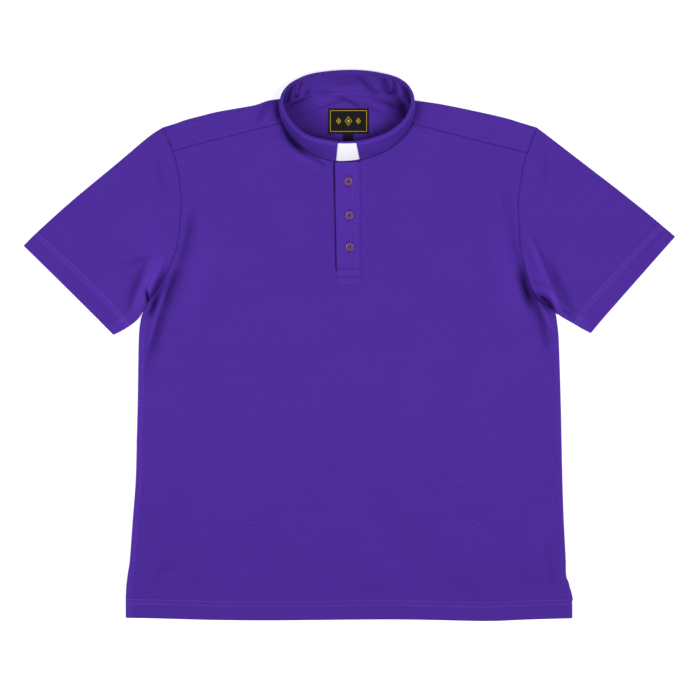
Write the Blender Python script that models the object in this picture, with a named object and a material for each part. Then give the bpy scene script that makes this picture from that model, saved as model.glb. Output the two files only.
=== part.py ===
"""Clergy polo shirt laid flat, front up: short sleeves, shoulder yoke, stand collar with a white tab.

Lengths are in millimetres and become metres when a mesh is made. X runs across the chest, Y from
the hem to the collar and Z up from the table. Left and right are the viewer's, as the shirt lies.
"""
import math

import bpy
import numpy as np

MM = 0.001

# Cloth and seams
CLOTH = 1.2
SEAM_GAP = 0.3
SEAM_SHIFT = 0.5
SIDE_PART = 0.2

# How high the top layer lies, and how the outline curls round to the layer under it
EDGE_CURL = 3.5
EDGE_SEAM_HEIGHT = 2.75
MIDDLE_HEIGHT = 4.0
EDGE_RISE = 1.5
EDGE_RISE_WIDTH = 25.0
NECK_RISE = 1.4
NECK_RISE_WIDTH = 30.0
LEAST_HEIGHT = 2.85
HEM_RISE = 0.5

# Body outline from the hem to the underarm: height, left edge, right edge
BODY_SIDES = [
    (-388.0, -317.2, 316.2),
    (-362.0, -317.2, 315.6),
    (-344.0, -316.7, 312.9),
    (-330.0, -315.1, 308.3),
    (-305.0, -311.4, 307.1),
    (-248.0, -307.2, 304.1),
    (-192.0, -303.0, 302.2),
    (-135.0, -301.5, 301.0),
    (-78.0, -300.1, 299.8),
    (7.0, -298.7, 297.0),
    (35.0, -296.0, 294.2),
    (47.0, -292.3, 292.0),
]

# Armhole seam from the underarm to the shoulder fold: height, left seam, right seam
ARMHOLES = [
    (47.0, -292.3, 292.0),
    (54.0, -289.2, 288.2),
    (62.0, -284.6, 279.6),
    (78.0, -274.2, 263.5),
    (98.0, -263.2, 251.8),
    (121.0, -252.7, 245.3),
    (145.0, -244.2, 241.6),
    (177.0, -239.9, 240.0),
    (210.0, -238.3, 239.9),
    (254.0, -244.7, 246.5),
    (275.0, -250.7, 252.9),
    (292.0, -257.3, 258.9),
    (308.5, -264.9, 265.8),
]

# Lower edge of the hem: across, height
HEM = [
    (-325.0, -386.5),
    (-263.5, -388.0),
    (-195.6, -389.8),
    (-114.0, -390.6),
    (0.9, -389.5),
    (91.5, -389.5),
    (193.3, -391.4),
    (250.0, -389.5),
    (325.0, -387.0),
]

# Fold of the yoke along each shoulder, from the armhole to the neck: across, height
SHOULDER_FOLDS = {
    -1: [(-264.9, 308.5), (-246.4, 314.2), (-231.1, 319.6), (-209.4, 325.2), (-187.7, 330.6),
         (-155.0, 336.4), (-133.3, 340.4), (-116.0, 346.4), (-99.6, 349.0)],
    1: [(265.8, 308.5), (241.9, 315.7), (219.3, 322.5), (174.0, 332.7), (128.7, 341.8),
        (93.4, 346.8)],
}

# Front seam of the yoke, from the armhole to the neck: across, height
YOKE_SEAMS = {
    -1: [(-250.7, 275.0), (-209.4, 286.8), (-176.7, 294.9), (-144.2, 303.0), (-120.0, 309.0),
         (-95.9, 314.6)],
    1: [(252.9, 272.5), (219.3, 281.0), (196.6, 286.3), (162.7, 295.0), (128.7, 303.8),
        (90.6, 314.0)],
}

# Sleeve outlines: the fold from the shoulder to the cuff, the cuff, and the underarm seam
SLEEVES = {
    -1: {
        "fold": [(-264.9, 308.5), (-285.5, 294.7), (-329.0, 258.9), (-392.9, 205.9),
                 (-440.0, 163.3), (-462.0, 141.0)],
        "cuff": [(-462.0, 141.0), (-423.7, 103.5), (-369.3, 52.0), (-334.3, 14.3)],
        "underarm": [(-293.0, 47.2), (-295.8, 42.5), (-300.4, 36.0), (-309.5, 28.4),
                     (-322.0, 20.4), (-334.3, 14.3)],
    },
    1: {
        "fold": [(265.8, 308.5), (287.2, 292.3), (332.5, 259.2), (377.8, 225.1),
                 (423.1, 188.9), (443.4, 170.8), (462.0, 153.8)],
        "cuff": [(462.0, 153.8), (423.1, 109.6), (366.4, 45.2), (346.0, 19.9)],
        "underarm": [(292.7, 47.2), (298.6, 41.6), (309.9, 34.2), (321.1, 28.1),
                     (332.0, 23.4), (346.0, 19.9)],
    },
}

# Collar ring, once round from the front centre by the left: foot across and height, how much of
# the top layer's height the foot has, and how far the rim leans from the foot in plan
COLLAR_RING = [
    (-2.5, 260.8, 1.0, 0.0, 22.5),
    (-21.5, 261.2, 1.0, 0.3, 22.0),
    (-44.0, 266.7, 1.0, 0.5, 20.0),
    (-62.0, 276.5, 1.0, -1.0, 16.5),
    (-76.0, 289.4, 1.0, -1.5, 14.5),
    (-88.0, 302.4, 1.0, 0.0, 14.5),
    (-95.4, 315.2, 1.0, 1.0, 15.0),
    (-98.7, 327.0, 1.0, 1.5, 15.0),
    (-98.7, 338.0, 0.7, 3.5, 14.5),
    (-97.0, 347.5, 0.25, 6.5, 13.0),
    (-90.0, 353.5, 0.0, 7.0, 15.0),
    (-76.0, 356.2, 0.0, 6.0, 20.0),
    (-58.0, 356.8, 0.0, 4.0, 25.5),
    (-31.0, 355.8, 0.0, 1.5, 31.0),
    (-1.0, 355.5, 0.0, 0.0, 33.3),
    (28.0, 356.3, 0.0, -1.5, 31.0),
    (55.0, 356.8, 0.0, -4.0, 25.5),
    (72.0, 355.8, 0.0, -6.0, 20.0),
    (85.0, 352.5, 0.0, -7.0, 16.0),
    (91.5, 346.0, 0.25, -7.5, 15.0),
    (92.8, 336.5, 0.7, -4.5, 16.0),
    (92.2, 325.0, 1.0, -2.0, 17.0),
    (89.4, 313.3, 1.0, -1.3, 17.5),
    (82.0, 299.8, 1.0, -0.5, 17.5),
    (70.0, 287.4, 1.0, 0.0, 18.0),
    (54.0, 276.0, 1.0, 0.0, 19.0),
    (34.0, 267.5, 1.0, 0.0, 20.5),
    (15.4, 262.4, 1.0, 0.0, 22.0),
]
COLLAR_HEIGHT = 38.0
COLLAR_FOOT_HEIGHT = 1.6
COLLAR_CROWN = 1.2
COLLAR_STATIONS = 62
BAND = 1.0
BAND_GAP = 0.5
TAB = 0.7
RIM_TURN = 7.0
TAB_TOP = (-16.8, 10.2)
TAB_FOOT = (-19.2, 14.6)
TAB_WING = 34.0

# Placket: its two edges at the neck and at its lower end
PLACKET_TOP_EDGES = (-21.5, 15.4)
PLACKET_FOOT_EDGES = (-18.0, 16.8)
PLACKET_LOW = 88.0
PLACKET_HIGH = 260.2
PLACKET_RISE = 0.4

# Buttons
BUTTON_CENTRES = [(-1.2, 232.5), (-0.2, 184.3), (0.5, 139.2)]
BUTTON_RADIUS = 6.15
BUTTON_HOLE_RADIUS = 0.8
BUTTON_HOLE_SPACING = 2.9

# Label and size tab on the inside of the yoke: left, low, right, high
LABEL_BOX = (-30.2, 299.8, 27.6, 335.7)
SIZE_TAB_BOX = (-8.7, 286.0, 5.5, 299.5)
LABEL = 1.0

# Soft folds of the top layer: start, bend and end in plan, half width, height
FOLDS = [
    (-271.0, 132.0, -284.0, 92.0, -308.0, 38.0, 10.0, 3.2),
    (-283.0, 112.0, -298.0, 88.0, -312.0, 50.0, 8.0, -1.8),
    (-270.0, 136.0, -292.0, 140.0, -318.0, 134.0, 9.0, 1.0),
    (-280.0, 119.0, -300.0, 120.0, -318.0, 116.0, 8.0, -0.8),
    (-209.0, 225.0, -232.0, 150.0, -252.0, 84.0, 13.0, -1.6),
    (-252.0, 92.0, -263.0, 52.0, -279.0, 10.0, 11.0, -1.7),
    (-276.0, 280.0, -272.0, 245.0, -260.0, 213.0, 9.0, -1.0),
    (-96.0, 282.0, -63.0, 265.0, -33.0, 245.0, 7.0, 1.2),
    (-140.0, 330.0, -148.0, 322.0, -156.0, 312.0, 7.0, -0.8),
    (245.0, 192.0, 268.0, 122.0, 306.0, 42.0, 11.0, 3.0),
    (281.0, 124.0, 292.0, 97.0, 311.0, 60.0, 8.0, -1.7),
    (216.0, 248.0, 226.0, 170.0, 246.0, 92.0, 12.0, -1.6),
    (243.0, 98.0, 258.0, 62.0, 285.0, 10.0, 10.0, -1.9),
    (277.0, 286.0, 282.0, 258.0, 275.0, 222.0, 9.0, -1.0),
    (80.0, 284.0, 92.0, 279.0, 106.0, 272.0, 6.0, 1.0),
    (98.0, 304.0, 108.0, 297.0, 121.0, 288.0, 6.0, 0.9),
]

COLOURS = {
    "purple knit": "50319C",
    "purple collar": "44268F",
    "white tab": "F3F2F6",
    "button plastic": "7D4B87",
    "label weave": "1B1822",
}


def smooth_path(points, step=2.0, closed=False):
    """Points a step apart along a smooth curve through the given ones."""
    points = np.array(points, float)
    if closed:
        padded = np.vstack([points[-1:], points, points[:2]])
    else:
        first = 2 * points[0] - points[1]
        last = 2 * points[-1] - points[-2]
        padded = np.vstack([first, points, last])
    pieces = []
    for before, start, end, after in zip(padded, padded[1:], padded[2:], padded[3:]):
        count = max(2, math.ceil(np.linalg.norm(end[:2] - start[:2]) / step))
        t = np.arange(count)[:, None] / count
        pieces.append(0.5 * (2 * start + (end - before) * t
                             + (2 * before - 5 * start + 4 * end - after) * t ** 2
                             + (3 * start - before - 3 * end + after) * t ** 3))
    if not closed:
        pieces.append(points[-1:])
    return np.vstack(pieces)


def path_lengths(path):
    """Length along a path at each of its points."""
    steps = np.linalg.norm(np.diff(path, axis=0), axis=1)
    return np.concatenate([[0.0], np.cumsum(steps)])


def along(path, lengths, wanted):
    """Points of a path at the wanted lengths along it."""
    return np.stack([np.interp(wanted, lengths, path[:, k]) for k in range(path.shape[1])], axis=-1)


def distance_to(path, xy):
    """Least distance in plan from each point to a path, and how far along the path that is, 0 to 1."""
    start = path[:-1]
    run = path[1:] - start
    square = np.maximum((run ** 2).sum(axis=1), 1e-9)
    offset = xy[..., None, :] - start
    t = np.clip((offset * run).sum(axis=-1) / square, 0, 1)
    gap = np.linalg.norm(offset - t[..., None] * run, axis=-1)
    nearest = gap.argmin(axis=-1)
    part = np.take_along_axis(t, nearest[..., None], axis=-1)[..., 0]
    return gap.min(axis=-1), (nearest + part) / len(run)


def ease(value):
    """Smooth step from 0 to 1."""
    value = np.clip(value, 0, 1)
    return value * value * (3 - 2 * value)


def table_path(rows, column):
    """Outline of one column of a table whose first column is the height."""
    return smooth_path([(row[column], row[0]) for row in rows])


BODY_EDGE = {side: table_path(BODY_SIDES, 1 if side < 0 else 2) for side in (-1, 1)}
ARMHOLE = {side: table_path(ARMHOLES, 1 if side < 0 else 2) for side in (-1, 1)}
SHOULDER = {side: smooth_path(SHOULDER_FOLDS[side]) for side in (-1, 1)}
YOKE_SEAM = {side: smooth_path(YOKE_SEAMS[side]) for side in (-1, 1)}
HEM_EDGE = smooth_path(HEM)
RING = smooth_path(COLLAR_RING, step=1.0, closed=True)
RING_BACK = RING[(RING[:, 2] < 0.6) & (RING[:, 1] > 345)][:, :2]
FOLDED_OUTLINE = [BODY_EDGE[-1], BODY_EDGE[1], SHOULDER[-1], SHOULDER[1]]
for sleeve in SLEEVES.values():
    FOLDED_OUTLINE.append(smooth_path(sleeve["fold"]))
    FOLDED_OUTLINE.append(smooth_path(sleeve["underarm"]))


def fold_height(xy, inset):
    """Ridges and troughs of the top layer, faded out at the folded outline."""
    total = np.zeros(xy.shape[:-1])
    for x0, y0, xb, yb, x1, y1, half_width, height in FOLDS:
        t = np.linspace(0, 1, 14)[:, None]
        path = ((1 - t) ** 2 * (x0, y0) + 2 * t * (1 - t) * np.array((xb, yb)) + t ** 2 * (x1, y1))
        gap, part = distance_to(path, xy)
        across = np.cos(np.pi / 2 * np.clip(gap / half_width, 0, 1)) ** 2
        total += height * across * np.sin(np.pi * np.clip(part, 0.06, 0.94))
    return total * ease(inset / (3 * EDGE_CURL))


def outline_inset(xy):
    """Distance in plan from each point to the folded outline."""
    return np.min([distance_to(path, xy)[0] for path in FOLDED_OUTLINE], axis=0)


def curl(inset):
    """How far round its curl the cloth is: 0 on the outline, 1 where it lies flat."""
    return np.sqrt(1 - (1 - np.clip(inset / EDGE_CURL, 0, 1)) ** 2)


def top_height(xy):
    """Height of the upper side of the top layer."""
    inset = outline_inset(xy)
    neck_gap = distance_to(np.vstack([RING[:, :2], RING[:1, :2]]), xy)[0]
    placket_side = np.abs(xy[..., 0] + 1) - 20
    placket_below = PLACKET_LOW - 12 - xy[..., 1]
    placket_gap = np.maximum(np.maximum(placket_side, placket_below), 0)
    rise = np.maximum(EDGE_RISE * np.exp(-(inset / EDGE_RISE_WIDTH) ** 2),
                      NECK_RISE * np.exp(-(neck_gap / NECK_RISE_WIDTH) ** 2))
    rise = np.maximum(rise, NECK_RISE * np.exp(-(placket_gap / 18) ** 2))
    height = MIDDLE_HEIGHT + rise + fold_height(xy, inset)
    height = np.maximum(height, LEAST_HEIGHT)
    return EDGE_SEAM_HEIGHT + (height - EDGE_SEAM_HEIGHT) * curl(inset)


def bottom_height(xy):
    """Height of the under side of the bottom layer, flat on the table but for its curled edge."""
    return EDGE_SEAM_HEIGHT * (1 - curl(outline_inset(xy)))


def with_height(xy, height):
    """Plan points with a height each."""
    return np.concatenate([xy, np.broadcast_to(height, xy.shape[:-1])[..., None]], axis=-1)


def grid_normals(outer, ring, turn):
    """Unit normals of a grid of points, turned to the cloth's outer side."""
    first = np.gradient(outer, axis=0, edge_order=2)
    if ring:
        second = np.roll(outer, -1, axis=1) - np.roll(outer, 1, axis=1)
    else:
        second = np.gradient(outer, axis=1, edge_order=2)
    normals = turn * np.cross(first, second)
    return normals / np.linalg.norm(normals, axis=-1, keepdims=True)


def make_material(name, roughness):
    """Plain material of a piece, from its colour's hex value."""
    material = bpy.data.materials.new(name)
    material.use_nodes = True
    values = [int(COLOURS[name][k:k + 2], 16) / 255 for k in (0, 2, 4)]
    linear = [v / 12.92 if v <= 0.04045 else ((v + 0.055) / 1.055) ** 2.4 for v in values]
    shader = material.node_tree.nodes["Principled BSDF"]
    shader.inputs["Base Color"].default_value = (*linear, 1.0)
    shader.inputs["Roughness"].default_value = roughness
    shader.inputs["Metallic"].default_value = 0.0
    material.diffuse_color = (*linear, 1.0)
    return material


def add_piece(name, points, faces, material):
    """Named object from points in millimetres, smooth but for its sharp edges."""
    used = sorted({index for face in faces for index in face})
    place = {index: k for k, index in enumerate(used)}
    mesh = bpy.data.meshes.new(name)
    mesh.from_pydata([tuple(points[index] * MM) for index in used], [],
                     [[place[index] for index in face] for face in faces])
    mesh.shade_smooth()
    mesh.set_sharp_from_angle(angle=math.radians(40))
    mesh.materials.append(material)
    piece = bpy.data.objects.new(name, mesh)
    bpy.context.scene.collection.objects.link(piece)
    piece.parent = shirt
    return piece


def wall(name, outer, material, thickness=CLOTH, keep=None, ring=False, turn=1):
    """Closed wall of cloth under a grid of outer points; keep says which cells of the grid it has."""
    rows, columns = outer.shape[:2]
    inner = outer - thickness * grid_normals(outer, ring, turn)
    points = np.concatenate([outer.reshape(-1, 3), inner.reshape(-1, 3)])
    under = rows * columns
    faces = []
    edges = {}
    for i in range(rows - 1):
        for j in range(columns if ring else columns - 1):
            if keep is not None and not keep[i, j]:
                continue
            after = (j + 1) % columns
            face = [i * columns + j, (i + 1) * columns + j, (i + 1) * columns + after, i * columns + after]
            if turn < 0:
                face.reverse()
            faces.append(face)
            faces.append([index + under for index in reversed(face)])
            for a, b in zip(face, face[1:] + face[:1]):
                edges[(a, b)] = True
    for a, b in edges:
        if (b, a) not in edges:
            faces.append([b, a, a + under, b + under])
    return add_piece(name, points, faces, material)


def edge_at(path, height):
    """Where an outline is across at a height."""
    order = path[:, 1].argsort()
    return np.interp(height, path[order, 1], path[order, 0])


def height_at(path, across):
    """How high an outline is at a place across."""
    order = path[:, 0].argsort()
    return np.interp(across, path[order, 0], path[order, 1])


def body_edge(side, height):
    """Edge of the front and back panels: the side seam, then just inside the armhole seam."""
    below = edge_at(BODY_EDGE[side], height)
    above = edge_at(ARMHOLE[side], height) - side * SEAM_SHIFT
    return np.where(height >= BODY_SIDES[-1][0], above, below)


def neck_edge():
    """Edge that the panels are cut to at the neck, just outside the collar's foot."""
    ring = RING[:, :2]
    run = np.roll(ring, -1, axis=0) - np.roll(ring, 1, axis=0)
    outward = np.stack([-run[:, 1], run[:, 0]], axis=1)
    outward /= np.linalg.norm(outward, axis=1, keepdims=True)
    return ring + (SEAM_GAP + 0.1) * outward


NECK = neck_edge()
NECK_FRONT = NECK[NECK[:, 1] < 330]
NECK_SIDE = {side: NECK[(NECK[:, 0] * side > 60) & (NECK[:, 1] > 300) & (NECK[:, 1] < 346)]
             for side in (-1, 1)}

# Distances from the edge at which the body panels have a line of points
EDGE_LINES = [0.0, 0.13 * EDGE_CURL, 0.5 * EDGE_CURL, EDGE_CURL, 10.0, 20.0, 31.0, 45.0]

# Heights at which the armhole seam has points that body and sleeve share
ARM_LEVELS = [54.0, 62.0, 78.0, 98.0, 121.0, 145.0, 177.0, 210.0, 254.0]
YOKE_LEVELS = [275.0, 292.0]
BACK_YOKE_SEAM = 254.0
HEM_LINES = [0.0, 13.0, 26.4, 28.0]
FRONT_LEVELS = [-340.0, -322.0, -290.0, -240.0, -180.0, -115.0, -50.0, -5.0, 22.0, 37.0, 47.0]
FRONT_SEAM_LINES = {
    -1: [-176.0, -147.0, -120.0, -95.9, -88.0, -76.0, -62.0, -46.0, -32.0],
    1: [176.0, 147.0, 118.0, 90.6, 82.0, 70.0, 56.0, 40.0, 27.0],
}


def placket_edge(side, height):
    """Left or right edge of the placket at a height."""
    column = 0 if side < 0 else 1
    part = np.clip((height - PLACKET_LOW) / (PLACKET_HIGH - PLACKET_LOW), 0, 1)
    foot = PLACKET_FOOT_EDGES[column]
    return foot + part * (PLACKET_TOP_EDGES[column] - foot)


def front_top(x):
    """Upper edge of the front: the yoke seam at the sides and the neck between them."""
    left = height_at(YOKE_SEAM[-1], x)
    right = height_at(YOKE_SEAM[1], x)
    neck = height_at(NECK_FRONT, x)
    on_left = x < YOKE_SEAMS[-1][-1][0] + 0.01
    on_right = x > YOKE_SEAMS[1][-1][0] - 0.01
    return np.where(on_left, left, np.where(on_right, right, neck))


def front_grid():
    """Points of the front in plan, from left to right and from the hem up, and its hem rows."""
    seam_top = {side: YOKE_SEAMS[side][0][1] for side in (-1, 1)}
    levels = FRONT_LEVELS + ARM_LEVELS
    rows = [("hem", distance) for distance in HEM_LINES]
    rows += [("level", level) for level in levels] + [("top", None)]
    columns = []
    for side in (-1, 1):
        lines = []
        for kind, value in rows:
            level = {"hem": -388.0 + (value or 0), "level": value, "top": seam_top[side]}[kind]
            edge = body_edge(side, level)
            window = placket_edge(side, level) + side * SEAM_SHIFT
            top_edge = body_edge(side, seam_top[side]) - side * EDGE_LINES[-1]
            top_window = PLACKET_TOP_EDGES[0 if side < 0 else 1] + side * SEAM_SHIFT
            near = [edge - side * distance for distance in EDGE_LINES]
            parts = [(x - top_edge) / (top_window - top_edge) for x in FRONT_SEAM_LINES[side]]
            far = [near[-1] + part * (window - near[-1]) for part in parts]
            lines.append(near + far + [window])
        columns.append(np.array(lines).T)
    left, right = columns[0], columns[1][::-1]
    middle = np.array([left[-1] + part * (right[0] - left[-1]) for part in (1 / 3, 2 / 3)])
    across = np.vstack([left, middle, right])
    hem = height_at(HEM_EDGE, across)
    top = front_top(across)
    window_columns = range(len(left) - 1, len(left) + 3)
    top[list(window_columns)] = front_top(np.array(PLACKET_TOP_EDGES)).mean()
    height = np.empty_like(across)
    for j, (kind, value) in enumerate(rows):
        x = across[:, j]
        if kind == "hem":
            height[:, j] = hem[:, j] + value
            continue
        part = []
        for k, side in ((0, -1), (-1, 1)):
            level = seam_top[side] if kind == "top" else value
            part.append((level - hem[k, j]) / (top[k, j] - hem[k, j]))
        blend = (x - x[0]) / (x[-1] - x[0])
        height[:, j] = hem[:, j] + (part[0] + blend * (part[1] - part[0])) * (top[:, j] - hem[:, j])
    return np.stack([across, height], axis=-1), len(left)


def make_front(knit):
    """Front panel with its placket window and turned-up hem."""
    plan, left_count = front_grid()
    rise = np.zeros(plan.shape[:2])
    rise[:, :len(HEM_LINES) - 1] = HEM_RISE
    inset = outline_inset(plan)
    height = top_height(plan) + rise * ease(inset / 8) + SIDE_PART * (1 - curl(inset))
    keep = np.ones(plan.shape[:2], bool)
    window_row = int(np.argmin(np.abs(plan[left_count, :, 1] - PLACKET_LOW)))
    keep[left_count - 1:left_count + 2, window_row:] = False
    wall("front", with_height(plan, height), knit, keep=keep)
    return plan[left_count, window_row, 1]


def make_back(knit):
    """Back panel, flat on the table, from the hem to the back yoke seam."""
    levels = FRONT_LEVELS + ARM_LEVELS
    edge_lines = EDGE_LINES[:4] + [14.0]
    hem_levels = [-387.0, -365.0]
    across = []
    for level in hem_levels + levels:
        left = body_edge(-1, level) + np.array(edge_lines)
        right = body_edge(1, level) - np.array(edge_lines)[::-1]
        middle = np.linspace(left[-1], right[0], 7)[1:-1]
        across.append(np.concatenate([left, middle, right]))
    across = np.array(across).T
    height = np.broadcast_to(np.array(hem_levels + levels), across.shape).copy()
    height[:, 0] = height_at(HEM_EDGE, across[:, 0]) + 0.6
    plan = np.stack([across, height], axis=-1)
    inset = outline_inset(plan)
    under = bottom_height(plan) - SIDE_PART * (1 - curl(inset))
    wall("back", with_height(plan, under), knit, turn=-1)


def yoke_strip(side):
    """Plan points of the yoke from one armhole to the neck: up the bottom layer, then down the top."""
    fold_level = ARMHOLES[-1][0]
    curls = EDGE_LINES[3:0:-1]
    low = BACK_YOKE_SEAM + SEAM_GAP
    parts = [0.0, 0.09, 0.2, 0.34, 0.5, 0.66, 0.8, 0.9, 1.0]
    lines = []
    seam_level = YOKE_SEAMS[side][0][1]
    for layer, level in ([("under", value) for value in (low, 275.0, 292.0)]
                         + [("under curl", value) for value in curls]
                         + [("fold", 0.0)]
                         + [("upper curl", value) for value in curls[::-1]]
                         + [("upper", value) for value in (292.0, seam_level)]):
        arm_level = fold_level - level if "curl" in layer or layer == "fold" else level
        arm = body_edge(side, arm_level) - side * (SEAM_GAP if "curl" in layer or layer == "fold" else 0)
        neck_level = arm_level + (38.5 if layer != "under" else 0)
        neck = edge_at(NECK_SIDE[side], np.clip(neck_level, 314.9, 345.0)) + side * 0.3
        x = arm + np.array(parts) * (neck - arm)
        fold = height_at(SHOULDER[side], x)
        if "curl" in layer or layer == "fold":
            y = fold - level
        elif layer == "under":
            y = low + (level - low) / (fold_level - EDGE_CURL - low) * (fold - EDGE_CURL - low)
        else:
            seam = height_at(YOKE_SEAM[side], x) + SEAM_GAP + 0.05
            part = (fold_level - EDGE_CURL - level) / (fold_level - EDGE_CURL - seam_level)
            y = fold - EDGE_CURL + part * (seam - fold + EDGE_CURL)
        lines.append(np.stack([x, y], axis=-1))
    return np.array(lines).transpose(1, 0, 2)


def make_yoke(knit):
    """Yoke: flat under the neck, wrapped over each shoulder to the front seams."""
    left = yoke_strip(-1)
    right = yoke_strip(1)[::-1]
    under_rows = 4
    fold_row = under_rows + 2
    inner_x = np.array([-91.0, -78.0, -58.0, -30.0, 0.0, 28.0, 55.0, 73.0, 85.5])
    top = height_at(RING_BACK, inner_x) + 0.8
    low = BACK_YOKE_SEAM + SEAM_GAP
    middle = np.empty((len(inner_x), left.shape[1], 2))
    middle[..., 0] = inner_x[:, None]
    for j in range(left.shape[1]):
        row = min(j, under_rows - 1)
        part = (left[0, row, 1] - low) / (left[0, under_rows - 1, 1] - low)
        middle[:, j, 1] = low + part * (top - low) + (j - row)
    plan = np.vstack([left, middle, right])
    upper = np.arange(plan.shape[1]) > fold_row
    height = np.where(upper, top_height(plan), bottom_height(plan))
    keep = np.ones(plan.shape[:2], bool)
    keep[len(left) - 1:len(left) + len(inner_x), under_rows - 1:] = False
    outer = with_height(plan, height)
    for edge, inward in ((len(left) - 1, 1), (len(left) + len(inner_x), -1)):
        outer[edge + inward, under_rows:] = outer[edge, under_rows:] + (inward * 10.0, 0, 0)
    wall("yoke", outer, knit, keep=keep, turn=-1)


def make_sleeve(name, side, knit):
    """Sleeve: one flattened tube from the armhole to the cuff, its hem turned up."""
    outline = {part: smooth_path(points) for part, points in SLEEVES[side].items()}
    arm = ARMHOLE[side][::-1]
    paths = {"arm": arm, **outline}
    lengths = {part: path_lengths(path) for part, path in paths.items()}
    whole = {part: values[-1] for part, values in lengths.items()}
    arm_heights = sorted(ARM_LEVELS + YOKE_LEVELS, reverse=True)
    arm_parts = np.interp([-h for h in arm_heights], -arm[:, 1], lengths["arm"]) / whole["arm"]
    curls = EDGE_LINES[1:4]
    hem_lines = [29.5, 28.0, 14.0, 0.0]
    free_parts = [0.0, 0.05, 0.11, 0.18, 0.26, 0.35, 0.46, 0.6, 0.78]
    rings = [("free", value) for value in free_parts] + [("hem", value) for value in hem_lines]
    plan = []
    for kind, value in rings:
        down = np.array([0.0] * 4 + list(arm_parts) + [1.0] * 4)
        for _ in range(3):
            seam_length = whole["fold"] * (1 - down) + whole["underarm"] * down
            run = value * (1 - 29.5 / seam_length) if kind == "free" else 1 - value / seam_length
            width = whole["arm"] * (1 - run) + whole["cuff"] * run
            down[:4] = np.array([0.0] + curls) / width[:4]
            down[-4:] = 1 - np.array(curls[::-1] + [0.0]) / width[-4:]
            down[4:-4] = down[3] + arm_parts * (down[-4] - down[3]) if value else arm_parts
        upper = along(paths["fold"], lengths["fold"], run * whole["fold"])
        lower = along(paths["underarm"], lengths["underarm"], run * whole["underarm"])
        inside = along(paths["arm"], lengths["arm"], down * whole["arm"])
        outside = along(paths["cuff"], lengths["cuff"], down * whole["cuff"])
        a = run[:, None]
        b = down[:, None]
        corners = ((1 - a) * (1 - b) * paths["fold"][0] + a * (1 - b) * paths["fold"][-1]
                   + (1 - a) * b * arm[-1] + a * b * paths["cuff"][-1])
        plan.append((1 - b) * upper + b * lower + (1 - a) * inside + a * outside - corners)
    plan = np.array(plan)
    rise = np.zeros(plan.shape[:2])
    rise[-3:] = HEM_RISE
    rise *= ease(outline_inset(plan) / 8)
    over = with_height(plan, top_height(plan) + rise)
    under = with_height(plan, bottom_height(plan))[:, -2:0:-1]
    loop = np.concatenate([over, under], axis=1)
    wall(name, loop, knit, ring=True, turn=-side)


def ring_frames(parts):
    """Foot, lean and inward direction of the collar at parts of the way round its ring."""
    ring = np.vstack([RING, RING[:1]])
    lengths = path_lengths(ring[:, :2])
    row = along(ring, lengths, np.mod(parts, 1.0) * lengths[-1])
    ahead = along(ring, lengths, np.mod(parts + 0.004, 1.0) * lengths[-1])
    behind = along(ring, lengths, np.mod(parts - 0.004, 1.0) * lengths[-1])
    foot_height = COLLAR_FOOT_HEIGHT + row[..., 2] * (MIDDLE_HEIGHT + NECK_RISE + 0.4 - COLLAR_FOOT_HEIGHT)
    foot = np.stack([row[..., 0], row[..., 1], foot_height], axis=-1)
    rise = np.sqrt(COLLAR_HEIGHT ** 2 - row[..., 3] ** 2 - row[..., 4] ** 2)
    lean = np.stack([row[..., 3], row[..., 4], rise], axis=-1) / COLLAR_HEIGHT
    run = (ahead - behind)[..., :2]
    run = np.concatenate([run, np.zeros(run.shape[:-1] + (1,))], axis=-1)
    inward = np.cross(run, lean)
    inward /= np.linalg.norm(inward, axis=-1, keepdims=True)
    return foot, lean, inward


def ring_part(x):
    """Part of the way round the ring at which its front is at a place across."""
    ring = np.vstack([RING, RING[:1]])
    lengths = path_lengths(ring[:, :2])
    front = ring[:, 1] < 280
    left = front & (np.arange(len(ring)) < len(ring) // 2)
    right = front & ~left
    if x <= RING[0, 0]:
        return np.interp(-x, -ring[left, 0], lengths[left]) / lengths[-1]
    return 1 - np.interp(x, ring[right][::-1, 0], (lengths[-1] - lengths[right])[::-1]) / lengths[-1]


def sweep(name, section, starts, ends, material):
    """Collar piece: a section of (depth, height) points carried round the ring between two ends.

    Each end is a pair, the part of the way round at the foot and at the rim, so it can slant.
    """
    shared = np.arange(COLLAR_STATIONS) / COLLAR_STATIONS
    margin = 0.35 / COLLAR_STATIONS
    middle = [u for u in np.concatenate([shared - 1, shared, shared + 1])
              if max(starts) + margin < u < min(ends) - margin]
    section = np.array(section, float)
    depth, height = section[:, 0], section[:, 1]
    part_up = np.clip(height / COLLAR_HEIGHT, 0, 1)
    first = starts[0] + part_up * (starts[1] - starts[0])
    last = ends[0] + part_up * (ends[1] - ends[0])
    parts = np.vstack([first] + [np.full(len(section), u) for u in middle] + [last])
    foot, lean, inward = ring_frames(parts)
    crowned = depth - COLLAR_CROWN * np.sin(np.pi * part_up)
    points = foot + height[:, None] * lean + crowned[:, None] * inward
    count, size = points.shape[:2]
    faces = [list(reversed(range(size))), [(count - 1) * size + k for k in range(size)]]
    for i in range(count - 1):
        for k in range(size):
            after = (k + 1) % size
            corners = [i * size + k, i * size + after, (i + 1) * size + after, (i + 1) * size + k]
            faces.append(corners[:3])
            faces.append([corners[0], corners[2], corners[3]])
    return add_piece(name, points.reshape(-1, 3), faces, material)


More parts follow.
